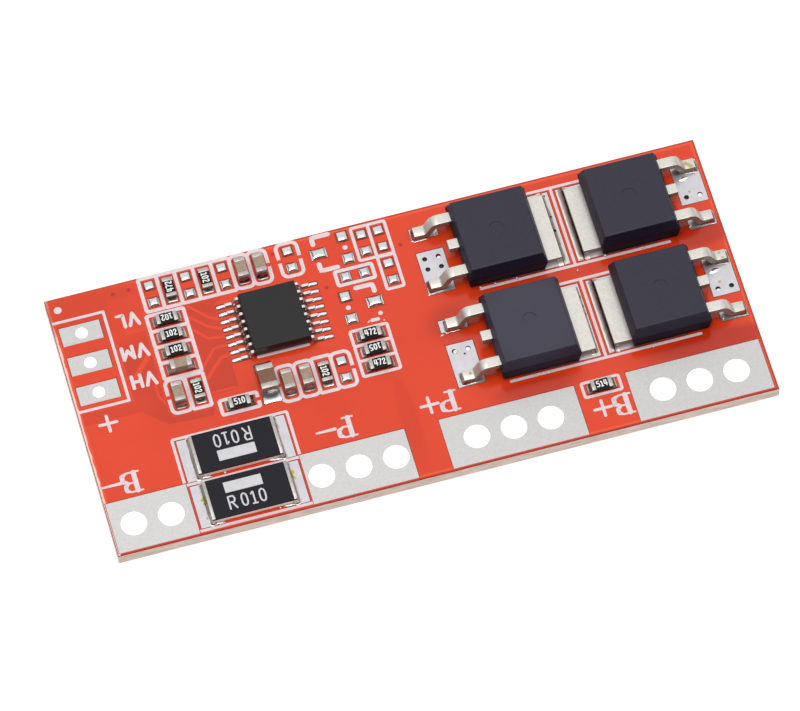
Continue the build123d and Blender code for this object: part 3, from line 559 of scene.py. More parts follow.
def strokeTree(bends=3, sides=14, capRelief=1.04):
    # Flat strokes along edges: rounded corners, round ends that stand a little higher, and a width from
    # each point
    tree, given, add, handOut = newTree(
        "drawStrokes", (("Relief", "Float"), ("Corner", "Float"), ("Finish", "Material")))
    bend = add("GeometryNodeFilletCurve", mode="POLY", Count=bends, Radius=given["Corner"],
               Curve=add("GeometryNodeMeshToCurve", given["Geometry"]))
    bend.inputs["Limit Radius"].default_value = True
    wide = attribute(add, "wide", "FLOAT")
    section = add("GeometryNodeCurvePrimitiveQuadrilateral", Width=1.0, Height=given["Relief"])
    band = add("GeometryNodeCurveToMesh", Curve=bend, Scale=wide)
    band.inputs["Fill Caps"].default_value = True
    tree.links.new(section.outputs[0], band.inputs["Profile Curve"])
    depth = add("ShaderNodeMath", given["Relief"], capRelief, operation="MULTIPLY")
    disc = add("GeometryNodeMeshCylinder", Vertices=sides, Radius=0.5, Depth=depth)
    caps = add("GeometryNodeInstanceOnPoints", Points=bend, Instance=disc, Scale=wide,
               Selection=add("GeometryNodeCurveEndpointSelection"))
    both = add("GeometryNodeJoinGeometry", band)
    tree.links.new(caps.outputs[0], both.inputs[0])
    handOut(both)
    return tree


setOnPoints = scatterTree()
drawStrokes = strokeTree()


def grown(name, tree, source, slot, replaced=(), **values):
    # Runs a tree on a source mesh and keeps the result as a plain mesh
    host = bpy.data.objects.new(name + "Source", source)
    scene.collection.objects.link(host)
    modifier = host.modifiers.new("grow", "NODES")
    modifier.node_group = tree
    for item in tree.interface.items_tree:
        if item.item_type == "SOCKET" and item.in_out == "INPUT" and item.name.replace(" ", "") in values:
            modifier[item.identifier] = values[item.name.replace(" ", "")]
    made = host.evaluated_get(bpy.context.evaluated_depsgraph_get())
    mesh = bpy.data.meshes.new_from_object(made)
    bpy.data.objects.remove(host)
    mesh.name = name
    finished(name, mesh, None, replaced)


def scattered(name, rings, places, material, slot, replaced=(), seed=1, turnChance=0.0, sizeChance=0.0):
    # A shape drawn once through rings and set on places, each a point, a turn in degrees and a stretch
    work = bmesh.new()
    addRings(work, rings)
    shape = bpy.data.objects.new(name + "Shape", meshFrom(name + "Shape", work))
    scene.collection.objects.link(shape)
    points = bpy.data.meshes.new(name + "Points")
    points.from_pydata([p for p, turn, stretch in places], [], [])
    turns = points.attributes.new("turn", "FLOAT", "POINT")
    sizes = points.attributes.new("stretch", "FLOAT_VECTOR", "POINT")
    for k, (p, turn, stretch) in enumerate(places):
        turns.data[k].value = math.radians(turn)
        sizes.data[k].vector = stretch
    grown(name, setOnPoints, points, slot, replaced, Shape=shape, Finish=material, Seed=seed,
          TurnChance=turnChance, SizeChance=sizeChance)
    bpy.data.objects.remove(shape)


def drawn(name, strokes, material, slot, relief, corner, step=3e-7):
    # Strokes, each a list of points and of widths; steps in height keep strokes that cross apart
    points, edges, widths = [], [], []
    for number, (line, wides) in enumerate(strokes):
        first = len(points)
        closed = (line[0] - line[-1]).length < 1e-7
        chain = line[:-1] if closed else line
        points += [p + Vector((0, 0, relief * wide / 2 + number % 9 * step)) for p, wide in zip(chain, wides)]
        widths += wides[:len(chain)]
        edges += [(first + k, first + k + 1) for k in range(len(chain) - 1)]
        if closed:
            edges.append((len(points) - 1, first))
    mesh = bpy.data.meshes.new(name + "Lines")
    mesh.from_pydata(points, edges, [])
    attributeWide = mesh.attributes.new("wide", "FLOAT", "POINT")
    for k, wide in enumerate(widths):
        attributeWide.data[k].value = wide
    grown(name, drawStrokes, mesh, slot, Relief=relief, Corner=corner, Finish=material)


def islands(name):
    # The box of each separate solid of a node
    work = bmesh.new()
    work.from_mesh(nodes[name].data)
    bmesh.ops.remove_doubles(work, verts=work.verts, dist=2e-7)
    seen, boxes = set(), []
    for start in work.verts:
        if start in seen:
            continue
        seen.add(start)
        queue, group = [start], []
        while queue:
            here = queue.pop()
            group.append(here.co.copy())
            for edge in here.link_edges:
                other = edge.other_vert(here)
                if other not in seen:
                    seen.add(other)
                    queue.append(other)
        lowest = Vector([min(p[k] for p in group) for k in range(3)])
        highest = Vector([max(p[k] for p in group) for k in range(3)])
        boxes.append((lowest, highest))
    work.free()
    return boxes


print("helpers ready")

# Moulded bodies, metal tabs and leads with their edges rounded, in millimetres and degrees
soft = {
    "mould": {"width": 0.17, "segments": 3, "shortest": 0.4},
    "tab": {"width": 0.05},
    "lead": {"width": 0.05, "angle": 40, "clamp": False},
    "controller": {"width": 0.07, "shortest": 0.4},
    "pin": {"width": 0.022, "segments": 1, "angle": 40, "clamp": False},
    "shunt": {"width": 0.05},
    "end": {"width": 0.03},
    "capacitorEnd": {"width": 0.05, "angle": 60},
    "chip": {"width": 0.02, "segments": 1},
}
transistorNames = sorted(n[:-5] for n in nodes if n.startswith("transistor_") and n.endswith("_body"))
for name in transistorNames:
    label = name.replace("_", "")
    softened(label + "Mould", [name + "_body"], mouldSlate, "transistor_moulding", **soft["mould"])
    softened(label + "Tab", [name + "_tab"], leadTin, "tinned_lead", **soft["tab"])
    softened(label + "Leads", [name + "_leads"], leadTin, "tinned_lead", **soft["lead"])
softened("controllerMould", ["controller_body"], mouldBlack, "controller_moulding", **soft["controller"])
softened("controllerPins", ["controller_leads"], pinTin, "tinned_lead", **soft["pin"])
for k in (1, 2):
    softened(f"shunt{k}Coat", [f"shunt_{k}_body"], shuntCoat, "resistor_coat", **soft["shunt"])
softened("shuntEnds", ["shunt_terminals"], endTin, "chip_end_metal", **soft["end"])
softened("resistorEnds", ["resistor_terminals"], endTin, "chip_end_metal", **soft["end"])
softened("capacitorEnds", ["capacitor_terminals"], endTin, "chip_end_metal", **soft["capacitorEnd"])
resistorNames = [f"resistor_{k}" for k in range(1, 13)]
capacitorNames = [f"capacitor_{k}" for k in range(1, 7)]
for name in resistorNames:
    softened(name.replace("_", "") + "Coat", [name], coatBlack, "resistor_coat", **soft["chip"])
for name in capacitorNames:
    softened(name.replace("_", "") + "Block", [name], ceramicTan, "capacitor_ceramic", **soft["chip"])
softened("bulkBlock", ["bulk_capacitor"], ceramicBrown, "bulk_ceramic", **soft["chip"])
print("bodies rounded")

# Solder left on the empty lands: a low pillow whose sides pull in between its corners
pillow = {"rise": 0.17, "pinch": 0.07, "roundness": 0.14, "starPinch": 0.20, "edge": 0.02,
          "pairReach": 2.3, "pairSide": 0.5}


def pillowRings(pinch, roundness):
    def outline(u, v):
        pull = 1 - roundness * (u * v) ** 4
        return (0.5 * u * (1 - pinch * (1 - v * v)) * pull, 0.5 * v * (1 - pinch * (1 - u * u)) * pull)

    def height(u, v):
        dome = (1 - u ** 4) * (1 - v ** 4)
        return pillow["edge"] + pillow["rise"] * dome ** 0.5

    return moundRings(outline, height, across=12, along=12)


spareBoxes = islands("spare_lands")
starPlaces, roundPlaces = [], []
for low, high in spareBoxes:
    middle, size = (low + high) / 2, high - low
    place = (Vector((middle.x, middle.y, landTop)), 0, (size.x / mm, size.y / mm, 1.0))
    # the upper land of a pair holds rounder solder than the others
    upper = any(abs((a + b).x / 2 - middle.x) < pillow["pairSide"] * mm
                and 0 < middle.y - (a + b).y / 2 < pillow["pairReach"] * mm for a, b in spareBoxes)
    (roundPlaces if upper else starPlaces).append(place)
scattered("spareSolderPillows", pillowRings(pillow["pinch"], pillow["roundness"]), roundPlaces,
          solderPillow, "solder", ["spare_solder"], seed=3, turnChance=0.05, sizeChance=0.03)
scattered("spareSolderStars", pillowRings(pillow["starPinch"], 0.0), starPlaces,
          solderPillow, "solder", ["spare_solder"], seed=5, turnChance=0.04, sizeChance=0.02)
print("spare solder shaped")

# Solder at the ends of the small chips: a film under the end and a hollow slope with raised corners
slope = {"film": 0.03, "climb": 0.62, "lip": 0.05, "crown": 0.55, "trim": 0.985}
smallJoint = {"chipHalf": 0.8, "landSpacing": 1.42, "landLength": 0.75, "landWidth": 0.8, "chipWidth": 0.8}
bulkJoint = {"chipHalf": 1.0, "landSpacing": 2.5, "landLength": 0.85, "landWidth": 1.3, "chipWidth": 1.25}


def slopeRings(chipHalf, landSpacing, landLength, landWidth, chipWidth, chipHeight):
    landInner, landOuter = landSpacing / 2 - landLength / 2, landSpacing / 2 + landLength / 2
    split = (chipHalf - landInner) / (landOuter - landInner) * 2 - 1

    def outline(u, v):
        x = landInner + (u + 1) / 2 * (landOuter - landInner)
        side = landWidth / 2 if u > split else min(landWidth, chipWidth) / 2
        return x, v * side * slope["trim"]

    def height(u, v):
        if u <= split:
            return slope["film"]
        t = (u - split) / (1 - split)
        ramp = (1 - t) ** 2.0 * chipHeight * slope["climb"]
        crown = 1 - slope["crown"] * abs(v) ** 3
        return slope["film"] + ramp * crown + slope["lip"] * (abs(v) ** 4) * math.sin(math.pi * min(t, 1))

    return moundRings(outline, height, across=8, along=14)


def endPlaces(names):
    # Both ends of each long chip, as its middle and the way outwards in degrees
    places = []
    for name in names:
        low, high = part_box(name)
        along = 0 if high.x - low.x > high.y - low.y else 90
        middle = (low + high) / 2
        places += [(Vector((middle.x, middle.y, landTop)), along + turn, (1, 1, 1)) for turn in (0, 180)]
    return places


for label, names, sizes, height, material, seed, sizeChance in (
        ("resistor", resistorNames, smallJoint, 0.45, solderDull, 11, 0.01),
        ("capacitor", capacitorNames, smallJoint, 0.8, solderDull, 12, 0.01),
        ("bulk", ["bulk_capacitor"], bulkJoint, 1.1, solderBright, 13, 0.0)):
    scattered(label + "Solder", slopeRings(chipHeight=height, **sizes), endPlaces(names), material, "solder",
              ["chip_solder"], seed=seed, sizeChance=sizeChance)
print("chip solder shaped")

# Solder at the controller's pins: a bright toe on the outer end of each land
pinToe = {"landLength": 1.38, "width": 0.26, "footEnd": 0.75, "film": 0.03, "rise": 0.10, "narrowFrom": 0.6}


def toeRings():
    def outline(u, v):
        x = (u + 1) / 2 * pinToe["landLength"]
        narrow = 1 - 0.5 * max(0, (u - pinToe["narrowFrom"]) / 0.4) ** 2
        return x, v * pinToe["width"] / 2 * narrow

    def height(u, v):
        x = (u + 1) / 2 * pinToe["landLength"]
        if x < pinToe["footEnd"]:
            return pinToe["film"]
        t = (x - pinToe["footEnd"]) / (pinToe["landLength"] - pinToe["footEnd"])
        return pinToe["film"] + pinToe["rise"] * (1 - t ** 3) * (1 - 0.75 * v * v)

    return moundRings(outline, height, across=6, along=14)


pinPlaces = []
controllerMiddle = middleOf("controller_body")
for low, high in islands("controller_lands"):
    middle = (low + high) / 2
    left = middle.x < controllerMiddle.x
    inner = high.x if left else low.x
    pinPlaces.append((Vector((inner, middle.y, landTop)), 180 if left else 0, (1, 1, 1)))
scattered("controllerToes", toeRings(), pinPlaces, solderBright, "solder", ["controller_solder"],
          seed=17, sizeChance=0.02)
print("controller toes shaped")


# Solder round bigger metal: a hollow skirt along a path, in millimetres
skirt = {"edge": 0.012, "overlap": 0.02}


def skirtRings(path, reach, climb, steps=6):
    rings, last = [], len(path) - 1
    for k, (x, y, outX, outY) in enumerate(path):
        out, up = reach(k / last), climb(k / last)
        ring = []
        for j in range(steps + 1):
            t = j / steps
            z = skirt["edge"] + (up - skirt["edge"]) * t ** 2.2
            ring.append((x + outX * out * (1 - t), y + outY * out * (1 - t), z))
        innerX, innerY = x - outX * skirt["overlap"], y - outY * skirt["overlap"]
        ring += [(innerX, innerY, up), (innerX, innerY, 0), (x + outX * out, y + outY * out, 0)]
        rings.append(ring)
    return rings


def aroundEnd(start, end, middle, half, steps=6):
    # Path along a bar's side, round its end and back, with the way outwards at each point
    way = 1 if end > start else -1
    path = [(start + (end - start) * k / steps, middle - half, 0, -1) for k in range(steps)]
    for k in range(4):
        angle = math.radians(-90 + 30 * k)
        path.append((end, middle - half, way * math.cos(angle), math.sin(angle)))
    path += [(end, middle - half + 2 * half * k / steps, way, 0) for k in range(1, steps)]
    for k in range(4):
        angle = math.radians(30 * k)
        path.append((end, middle + half, way * math.cos(angle), math.sin(angle)))
    path += [(end + (start - end) * k / steps, middle + half, 0, 1) for k in range(1, steps + 1)]
    return path


def boxRings(x0, x1, y0, y1, z1):
    return [[(x, y0, 0), (x, y1, 0), (x, y1, z1), (x, y0, z1)] for x in (x0, x1)]


def picked(bumps, t, short=0.1):
    # One of a row of bumps, by a share of the way
    return bumps[int(t * (len(bumps) - short))]


joint = {"leadWidth": 0.82, "footLength": 1.0, "toeFrom": 0.9, "toeReach": 0.2, "toeClimb": 0.34,
         "toeBumps": 8, "toeSpread": (0.75, 1.25), "tabClimb": 0.30, "tabSides": 0.35, "tabBumps": 24,
         "tabSpread": (0.88, 1.0), "inset": 0.03, "film": 0.03, "filmLength": 5.49, "smooth": 50, "seed": 40}
# tones of the tab solder from the tab out to its land's edge, by the way that the tab faces; the near-black
# line at the tab's foot is painted shade, and the bands beside it are partly the solder's own tin and partly
# painted reflection
tabPaintedShading = {
    1: ((0.0, (0.60, 0.57, 0.50)), (0.40, (0.50, 0.46, 0.38)), (0.43, (0.03, 0.02, 0.02)),
        (0.47, (0.03, 0.02, 0.02)), (0.52, (0.52, 0.49, 0.43)), (0.75, (0.66, 0.64, 0.60)),
        (1.0, (0.60, 0.58, 0.50))),
    -1: ((0.0, (0.50, 0.44, 0.41)), (0.38, (0.30, 0.25, 0.24)), (0.42, (0.02, 0.01, 0.01)),
         (0.50, (0.02, 0.01, 0.01)), (0.55, (0.20, 0.15, 0.15)), (0.80, (0.36, 0.29, 0.28)),
         (0.88, (0.72, 0.68, 0.52)), (1.0, (0.78, 0.75, 0.60))),
}
tabStains = {
    "transistor_1": [(37.95, 20.35, 0.10, burntBrown), (37.92, 19.8, 0.07, fluxOlive),
                     (37.95, 18.5, 0.09, burntBrown), (37.9, 17.27, 0.13, burntBrown),
                     (37.95, 16.1, 0.08, fluxOlive)],
    "transistor_3": [(38.1, 11.4, 0.14, fluxOchre), (38.15, 10.6, 0.12, fluxOlive),
                     (38.12, 9.9, 0.10, fluxOchre)],
}
tabLands = [box for box in islands("power_lands") if (box[1] - box[0]).x > 5 * mm]
feet = bmesh.new()
for number, name in enumerate(transistorNames):
    chance = random.Random(joint["seed"] + number)
    middle = middleOf(name + "_body")
    tabLow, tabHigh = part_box(name + "_tab")
    leadLow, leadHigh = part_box(name + "_leads")
    facing = 1 if (tabLow + tabHigh).x / 2 > middle.x else -1
    toe = -(middle.x - leadLow.x if facing > 0 else leadHigh.x - middle.x) / mm
    tabEnd = (tabHigh.x - middle.x if facing > 0 else middle.x - tabLow.x) / mm
    tabHalf = (tabHigh.y - tabLow.y) / 2 / mm
    leadMiddle = (leadHigh.y - leadLow.y) / 2 / mm - joint["leadWidth"] / 2
    turn = 0 if facing > 0 else math.pi
    place = Matrix.Translation((middle.x, middle.y, landTop)) @ Matrix.Rotation(turn, 4, "Z")
    before = len(feet.verts)
    for side in (-1, 1):
        bumps = [chance.uniform(*joint["toeSpread"]) for k in range(joint["toeBumps"])]
        start, leadHalf = toe + joint["footLength"] * joint["toeFrom"], joint["leadWidth"] / 2
        addRings(feet, skirtRings(
            aroundEnd(start, toe, side * leadMiddle, leadHalf),
            lambda t: joint["toeReach"] * (0.55 + 0.5 * math.sin(math.pi * t) ** 2) * picked(bumps, t, 0.01),
            lambda t: joint["toeClimb"] * (0.35 + 0.65 * math.sin(math.pi * t) ** 2)
            * picked(bumps[::-1], t, 0.01)))
        addRings(feet, boxRings(toe, toe + joint["footLength"], side * leadMiddle - leadHalf,
                                side * leadMiddle + leadHalf, joint["film"]))
    feet.verts.ensure_lookup_table()
    bmesh.ops.transform(feet, matrix=place, verts=feet.verts[before:])
    under = [box for box in tabLands if box[0].x < middle.x < box[1].x and box[0].y < middle.y < box[1].y][0]
    tabEdge, landEdge = (tabHigh.x, under[1].x) if facing > 0 else (tabLow.x, under[0].x)
    reach = abs(landEdge - tabEdge) / mm - joint["inset"]
    work = bmesh.new()
    bumps = [chance.uniform(*joint["tabSpread"]) for k in range(joint["tabBumps"])]
    path = aroundEnd(tabEnd - joint["tabSides"], tabEnd, 0, tabHalf, steps=22)
    addRings(work, skirtRings(path, lambda t: reach * picked(bumps, t),
                              lambda t: joint["tabClimb"] * picked(bumps[::-1], t)))
    addRings(work, boxRings(tabEnd - joint["filmLength"], tabEnd, -tabHalf, tabHalf, joint["film"]))
    bmesh.ops.transform(work, matrix=place, verts=work.verts)
    label = name.replace("_", "") + "TabSolder"
    material = banded(label, tabEdge - facing * joint["tabSides"] * mm, landEdge, tabPaintedShading[facing], 0.32, 0.7)
    withSpots(material, tabStains.get(name, []))
    finished(label, meshFrom(label, work), material, ["transistor_solder"], joint["smooth"])
finished("footSolder", meshFrom("footSolder", feet), solderDull, ["transistor_solder"],
         joint["smooth"])

shuntJoint = {"reach": 0.26, "climb": 0.30, "sides": 0.35, "bumps": 16, "spread": (0.8, 1.15), "film": 0.03,
              "filmLength": 1.0, "smooth": 50, "seed": 60}
work = bmesh.new()
endLow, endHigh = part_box("shunt_terminals")
for number in (1, 2):
    low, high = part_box(f"shunt_{number}_body")
    middle = (low + high) / 2
    half, end = (high.y - low.y) / 2 / mm, (endHigh.x - endLow.x) / 2 / mm
    for turn in (0, math.pi):
        chance = random.Random(shuntJoint["seed"] + number * 2 + int(turn))
        bumps = [chance.uniform(*shuntJoint["spread"]) for k in range(shuntJoint["bumps"])]
        before = len(work.verts)
        addRings(work, skirtRings(
            aroundEnd(end - shuntJoint["sides"], end, 0, half, steps=14),
            lambda t: shuntJoint["reach"] * (0.5 + 0.5 * min(1, 4 * math.sin(math.pi * t) ** 4))
            * picked(bumps, t),
            lambda t: shuntJoint["climb"] * picked(bumps[::-1], t)))
        addRings(work, boxRings(end - shuntJoint["filmLength"], end, -half, half, shuntJoint["film"]))
        work.verts.ensure_lookup_table()
        place = Matrix.Translation((middle.x, middle.y, landTop)) @ Matrix.Rotation(turn, 4, "Z")
        bmesh.ops.transform(work, matrix=place, verts=work.verts[before:])
finished("shuntSolder", meshFrom("shuntSolder", work), solderSoft, ["shunt_solder"],
         shuntJoint["smooth"])
print("power solder shaped")

# Letters and figures, drawn as strokes in a cell one unit high; a third number widens or thins a point
glyphs = {
    "0": (0.6, [[(.08, .3), (.08, .7), (.14, .9), (.3, 1), (.46, .9), (.52, .7), (.52, .3), (.46, .1), (.3, 0),
                 (.14, .1), (.08, .3)]]),
    "1": (0.5, [[(.1, .8), (.28, 1), (.28, 0)], [(.1, 0), (.46, 0)]]),
    "2": (0.6, [[(.08, .76), (.16, .96), (.44, .96), (.52, .7), (.06, 0), (.54, 0)]]),
    "4": (0.62, [[(.14, 1), (.06, .34), (.6, .34)], [(.46, 1), (.46, 0)]]),
    "5": (0.6, [[(.52, 1), (.14, 1), (.1, .56), (.34, .62), (.54, .48), (.54, .16), (.34, 0), (.06, .06)]]),
    "7": (0.58, [[(.06, 1), (.54, 1), (.24, 0)]]),
    "R": (0.66, [[(.08, 0), (.08, 1), (.5, 1), (.6, .76), (.5, .52), (.08, .52)], [(.32, .52), (.62, 0)]]),
    " ": (0.0, []),
    "V": (0.78, [[(.04, 1), (.39, 0)], [(.39, 0), (.74, 1)]]),
    "L": (0.58, [[(.04, 1), (.04, 0), (.54, 0, .7)]]),
    "M": (0.86, [[(.04, 0), (.04, 1)], [(.04, 1), (.43, .3)], [(.43, .3), (.82, 1)], [(.82, 1), (.82, 0)]]),
    "H": (0.72, [[(.04, 0), (.04, 1)], [(.68, 0), (.68, 1)], [(.04, .5), (.68, .5)]]),
    "+": (0.84, [[(0, .5), (.84, .5)], [(.42, .08), (.42, .92)]]),
    "-": (0.9, [[(0, .5, 1.1), (.9, .5, .7)]]),
    "B": (0.85, [[(.24, .06, 1.5), (.24, .94, 1.5)], [(.03, .96, .6), (.5, .96, .6)],
                 [(.03, .04, .6), (.5, .04, .6)],
                 [(.24, .96, .6), (.52, .96, .6), (.7, .86, 1.3), (.7, .66, 1.3), (.52, .54, .6),
                  (.24, .54, .6)],
                 [(.5, .54, .6), (.76, .42, 1.4), (.76, .16, 1.4), (.54, .04, .6), (.24, .04, .6)]]),
    "P": (0.83, [[(.24, .06, 1.5), (.24, .94, 1.5)], [(.03, .96, .6), (.5, .96, .6)],
                 [(.03, .04, .6), (.48, .04, .6)],
                 [(.24, .96, .6), (.54, .96, .6), (.74, .84, 1.4), (.74, .6, 1.4), (.54, .46, .6),
                  (.24, .46, .6)]]),
}


def word(text, place, height, turn, wide, spacing=0.2, squeeze=1.0):
    # Strokes of a word centred on a place, turned, and narrowed by squeeze
    lines, x = [], 0
    for letter in text:
        advance, strokes = glyphs[letter]
        for stroke in strokes:
            lines.append([(x + point[0] * squeeze, point[1], (*point, 1)[2]) for point in stroke])
        x += advance * squeeze + spacing
    span = x - spacing
    spin, size = Matrix.Rotation(math.radians(turn), 3, "Z"), height * mm
    return [([place + spin @ Vector(((px - span / 2) * size, (py - 0.5) * size, 0)) for px, py, w in line],
             [wide * w * mm for px, py, w in line]) for line in lines]


def circle(radius, sides, z):
    turns = [math.radians(360 / sides * k) for k in range(sides)]
    return [(radius * math.cos(turn), radius * math.sin(turn), z) for turn in turns]


# Sizes below are in millimetres, but a relief is a share of its stroke's width and a corner is in metres
printing = {"height": 1.26, "wide": 0.27, "tapSpacing": 0.3, "plus": 1.55, "sign": 1.52, "signWide": 0.235,
            "letter": 1.74, "letterWide": 0.25, "relief": 0.045, "corner": 0.0001, "tapCorner": 0.00004}
legend = []
for text, x, y in (("VL", 5.56, 18.74), ("VM", 5.42, 16.04), ("VH", 5.46, 13.56)):
    legend += word(text, onBoard(x, y), printing["height"] - printing["wide"], 180, printing["wide"],
                   printing["tapSpacing"])
drawn("tapWords", legend, inkWhite, "legend_ink", printing["relief"], printing["tapCorner"])
legend = word("+", onBoard(2.03, 10.77), printing["plus"], 0, printing["signWide"])
for sign, x, y in (("-", 0.99, 5.73), ("-", 17.15, 5.76), ("+", 25.02, 5.75), ("+", 37.15, 2.0)):
    legend += word(sign, onBoard(x, y), printing["sign"], 180, printing["signWide"])
for letter, x, y in (("B", 2.44, 5.62), ("P", 18.65, 5.68), ("P", 26.45, 5.68), ("B", 38.65, 1.9)):
    legend += word(letter, onBoard(x, y), printing["letter"], 180, printing["letterWide"])
drawn("printedWords", legend, inkWhite, "legend_ink", printing["relief"], printing["corner"])

inked = {
    "wide": 0.37, "relief": 0.05, "corner": 0.00022, "thick": 0.016,
    "lines": (((20.355, 21.12), (20.355, 21.70), (21.62, 21.70)),
              ((20.355, 19.38), (20.355, 18.80), (21.62, 18.80)),
              ((22.43, 16.70), (23.695, 16.70), (23.695, 16.12))),
    "crumbs": ((23.63, 14.18, 0.36), (22.56, 13.66, 0.12), (22.66, 13.74, 0.10), (23.74, 13.54, 0.12)),
}
strokes = [([onBoard(x, y) for x, y in line], [inked["wide"] * mm] * len(line)) for line in inked["lines"]]
drawn("cornerInk", strokes, inkWhite, "legend_ink", inked["relief"], inked["corner"])
rings = [circle(0.5, 12, z) for z in (0, inked["thick"])]
scattered("inkCrumbs", rings, [(onBoard(x, y), 0, (wide, wide, 1)) for x, y, wide in inked["crumbs"]],
          inkWhite, "legend_ink", seed=25, turnChance=1.0, sizeChance=0.05)

figures = {"height": 0.46, "wide": 0.082, "spacing": 0.13, "squeeze": 0.88, "relief": 0.06, "corner": 0.00003,
           "shuntHeight": 1.02, "shuntWide": 0.125, "shuntSpacing": 0.17, "shuntSqueeze": 0.9}
codes = ["472", "102", "102", "102", "102", "102", "510", "102", "472", "105", "472", "514"]
codeTurns = [90, -90, 180, 0, 0, -90, 0, -90, 0, 180, 0, 0]
marks = []
for name, text, turn in zip(resistorNames, codes, codeTurns):
    low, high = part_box(name)
    place = Vector(((low.x + high.x) / 2, (low.y + high.y) / 2, high.z))
    marks += word(text, place, figures["height"], turn, figures["wide"], figures["spacing"], figures["squeeze"])
drawn("valueMarks", marks, figureWhite, "legend_ink", figures["relief"], figures["corner"])
marks = []
for x, y, turn in ((10.40, 6.86, 180), (10.15, 1.68, 0)):
    marks += word("R 010", onBoard(x, y, shuntTop), figures["shuntHeight"], turn, figures["shuntWide"],
                  figures["shuntSpacing"], figures["shuntSqueeze"])
drawn("shuntMarks", marks, barWhite, "legend_ink", figures["relief"], figures["corner"])

bar = {"length": 2.83, "width": 0.87, "thick": 0.012, "places": ((10.42, 5.63), (10.16, 2.97))}
work = bmesh.new()
for x, y in bar["places"]:
    size = Matrix.Diagonal((bar["length"] * mm, bar["width"] * mm, bar["thick"] * mm, 1))
    middle = onBoard(x, y, shuntTop + bar["thick"] * mm / 2)
    bmesh.ops.create_cube(work, size=1, matrix=Matrix.Translation(middle) @ size)
finished("valueBars", meshFrom("valueBars", work), barWhite)
print("words and values drawn")

# Copper felt under the mask: bare hollows stand a little darker, and tracks cross them
hollow = {"lift": 0.003, "trackRelief": 0.03, "trackCorner": 0.0001}
hollowOutlines = (
    ((0.35, 12.0), (0.35, 11.05), (4.65, 11.05), (6.25, 9.5), (9.6, 9.3), (9.95, 9.9), (6.75, 9.95),
     (6.5, 10.5), (6.55, 18.9), (6.75, 20.7), (4.4, 20.7), (4.35, 12.0)),
    ((9.98, 18.75), (9.98, 11.0), (11.85, 11.05), (12.0, 11.3), (12.0, 18.3), (12.9, 18.75)),
)
# each track is a width and its points
tracks = (
    (0.42, (4.95, 13.95), (6.5, 15.7)), (0.40, (5.3, 17.7), (6.5, 17.7)),
    (0.2, (6.2, 13.2), (6.15, 12.0), (6.5, 11.2)),
    (0.22, (10.1, 18.65), (11.35, 17.35), (12.0, 16.95)), (0.22, (10.0, 17.7), (11.1, 16.6), (12.0, 16.15)),
    (0.22, (10.0, 16.6), (10.9, 15.6), (12.0, 15.45)), (0.22, (10.0, 13.5), (11.1, 14.7), (12.0, 14.7)),
    (0.3, (10.0, 12.4), (11.4, 13.8), (12.0, 13.85)), (0.16, (10.1, 11.15), (11.8, 11.15)),
    (0.2, (19.95, 14.75), (20.3, 13.4), (20.75, 12.45)), (0.18, (15.45, 12.75), (15.65, 12.35)),
    (0.18, (18.4, 12.75), (19.6, 12.6), (20.7, 11.95)), (0.18, (17.0, 12.75), (17.2, 12.4)),
)
work = bmesh.new()
for outline in hollowOutlines:
    low = [work.verts.new(onBoard(x, y)) for x, y in outline]
    high = [work.verts.new(onBoard(x, y, maskTop + hollow["lift"] * mm)) for x, y in outline]
    work.faces.new(low)
    work.faces.new(high)
    for k in range(len(outline)):
        j = (k + 1) % len(outline)
        work.faces.new((low[k], low[j], high[j], high[k]))
finished("maskHollows", meshFrom("maskHollows", work), maskBare)
drawn("maskTracks", [([onBoard(x, y) for x, y in line], [wide * mm] * len(line)) for wide, *line in tracks],
      maskOnCopper, "solder_mask", hollow["trackRelief"], hollow["trackCorner"])

# Vias closed by the mask, and stray balls of solder
via = {"ring": 0.16, "hole": 0.08, "rise": 0.004, "floor": 0.001,
       "places": ((5.05, 21.15), (6.25, 21.2), (17.25, 21.2), (20.38, 17.35), (26.6, 19.35), (21.05, 11.53))}
rings = [circle(radius, 15, z) for radius, z in (
    (via["ring"], 0), (via["ring"], via["rise"]), (via["hole"], via["rise"]), (via["hole"] * .8, via["floor"]))]
scattered("closedVias", rings, [(onBoard(x, y), 0, (1, 1, 1)) for x, y in via["places"]],
          maskDeep, "solder_mask", seed=21, turnChance=0.5, sizeChance=0.1)

ball = {"radius": 0.09, "tilts": [math.radians(-80 + 26.67 * k) for k in range(7)], "places": (
    (31.29, 14.15), (32.42, 14.17), (34.07, 14.15), (33.4, 5.94), (34.13, 5.9), (40.88, 14.2), (43.73, 14.08),
    (44.01, 14.05), (42.14, 5.88), (9.2, 4.48), (12.33, 0.58), (38.57, 13.57))}
rings = [circle(ball["radius"] * math.cos(tilt), 8, ball["radius"] * (1 + math.sin(tilt)))
         for tilt in ball["tilts"]]
scattered("strayBalls", rings, [(onBoard(x, y), 0, (1, 1, 1)) for x, y in ball["places"]],
          ballTin, "solder", seed=22, turnChance=3.0, sizeChance=0.3)

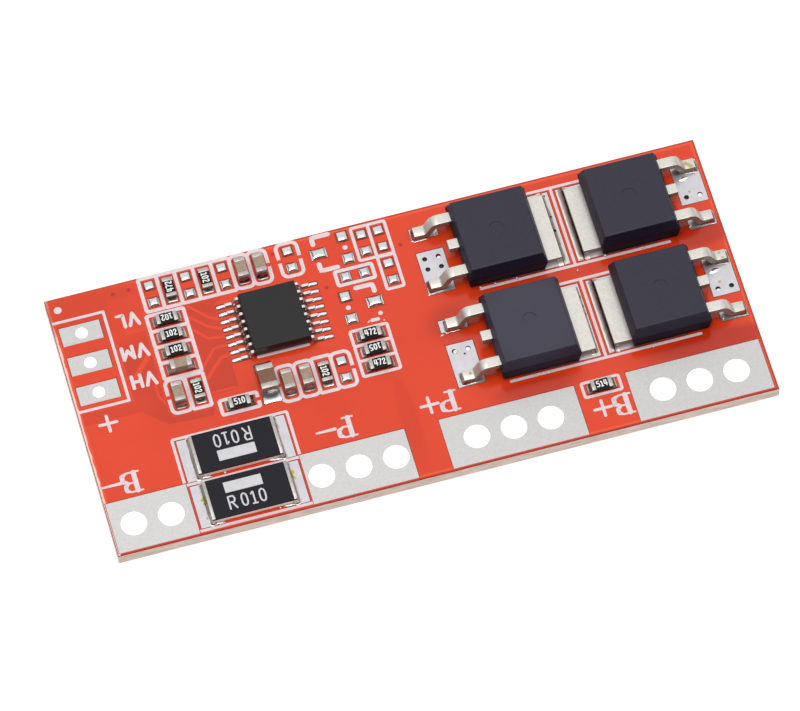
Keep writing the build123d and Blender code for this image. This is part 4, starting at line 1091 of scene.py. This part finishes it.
plug = {"radius": 0.155, "sink": 0.05, "thick": 0.03, "places": (
    (29.03, 17.52), (28.05, 9.53), (29.0, 9.53), (49.13, 17.3), (48.1, 9.13))}
rings = [circle(plug["radius"], 12, z) for z in (0, plug["thick"])]
places = [(onBoard(x, y, landTop - plug["sink"] * mm), 0, (1, 1, 1)) for x, y in plug["places"]]
scattered("viaPlugs", rings, places, solderBright, "solder", seed=23, turnChance=1.0, sizeChance=0.05)

# each glint is a place, a turn, and a stretch of its length and of its width
glint = {"length": 0.34, "width": 0.13, "edge": 0.002, "rise": 0.05, "places": (
    (27.55, 19.35, 10, 1, 1), (29.35, 19.6, 60, 1, 1), (27.6, 7.05, 15, 1, 1), (29.35, 11.6, 50, 1, 1),
    (48.35, 18.95, 5, 2.6, 3.0), (48.32, 10.8, 0, 2.6, 3.0), (47.7, 14.92, 35, 1.2, 1.3),
    (47.79, 6.81, 35, 1.2, 1.3), (27.5, 11.1, 20, 1, 1), (27.6, 14.68, 20, 1.2, 1.2),
    (28.6, 6.82, 20, 1.2, 1.2),
    (7.75, 4.53, 0, 3.2, 1.3), (13.1, 4.53, 0, 3.2, 1.3), (7.75, 0.62, 0, 3.2, 1.3), (13.1, 0.62, 0, 3.2, 1.3))}
rings = moundRings(lambda u, v: (u * glint["length"] / 2, v * glint["width"] / 2 * (1.05 - u * u)),
                   lambda u, v: glint["edge"] + glint["rise"] * (1 - u * u) * (1 - v * v), 6, 8)
places = [(onBoard(x, y, landTop), turn, (long, wide, 1)) for x, y, turn, long, wide in glint["places"]]
scattered("footGlints", rings, places, solderBright, "solder", seed=24, turnChance=0.2, sizeChance=0.15)
print("mask relief drawn")

low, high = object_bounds()

# Floor
floorMaterial, floorShader = newSurface("floorPale", studio["floorColor"], studio["floorRoughness"])[:2]
floorShader.inputs["Emission Color"].default_value = (1, 1, 1, 1)
floorShader.inputs["Emission Strength"].default_value = studio["floorGlow"]
half = studio["floorSize"] / 2
floorMesh = bpy.data.meshes.new("floor")
corners = ((-half, -half), (half, -half), (half, half), (-half, half))
floorMesh.from_pydata([(x, y, -studio["floorDrop"]) for x, y in corners], [], [(0, 1, 2, 3)])
floor = bpy.data.objects.new("floor", floorMesh)
floorMesh.materials.append(floorMaterial)
scene.collection.objects.link(floor)
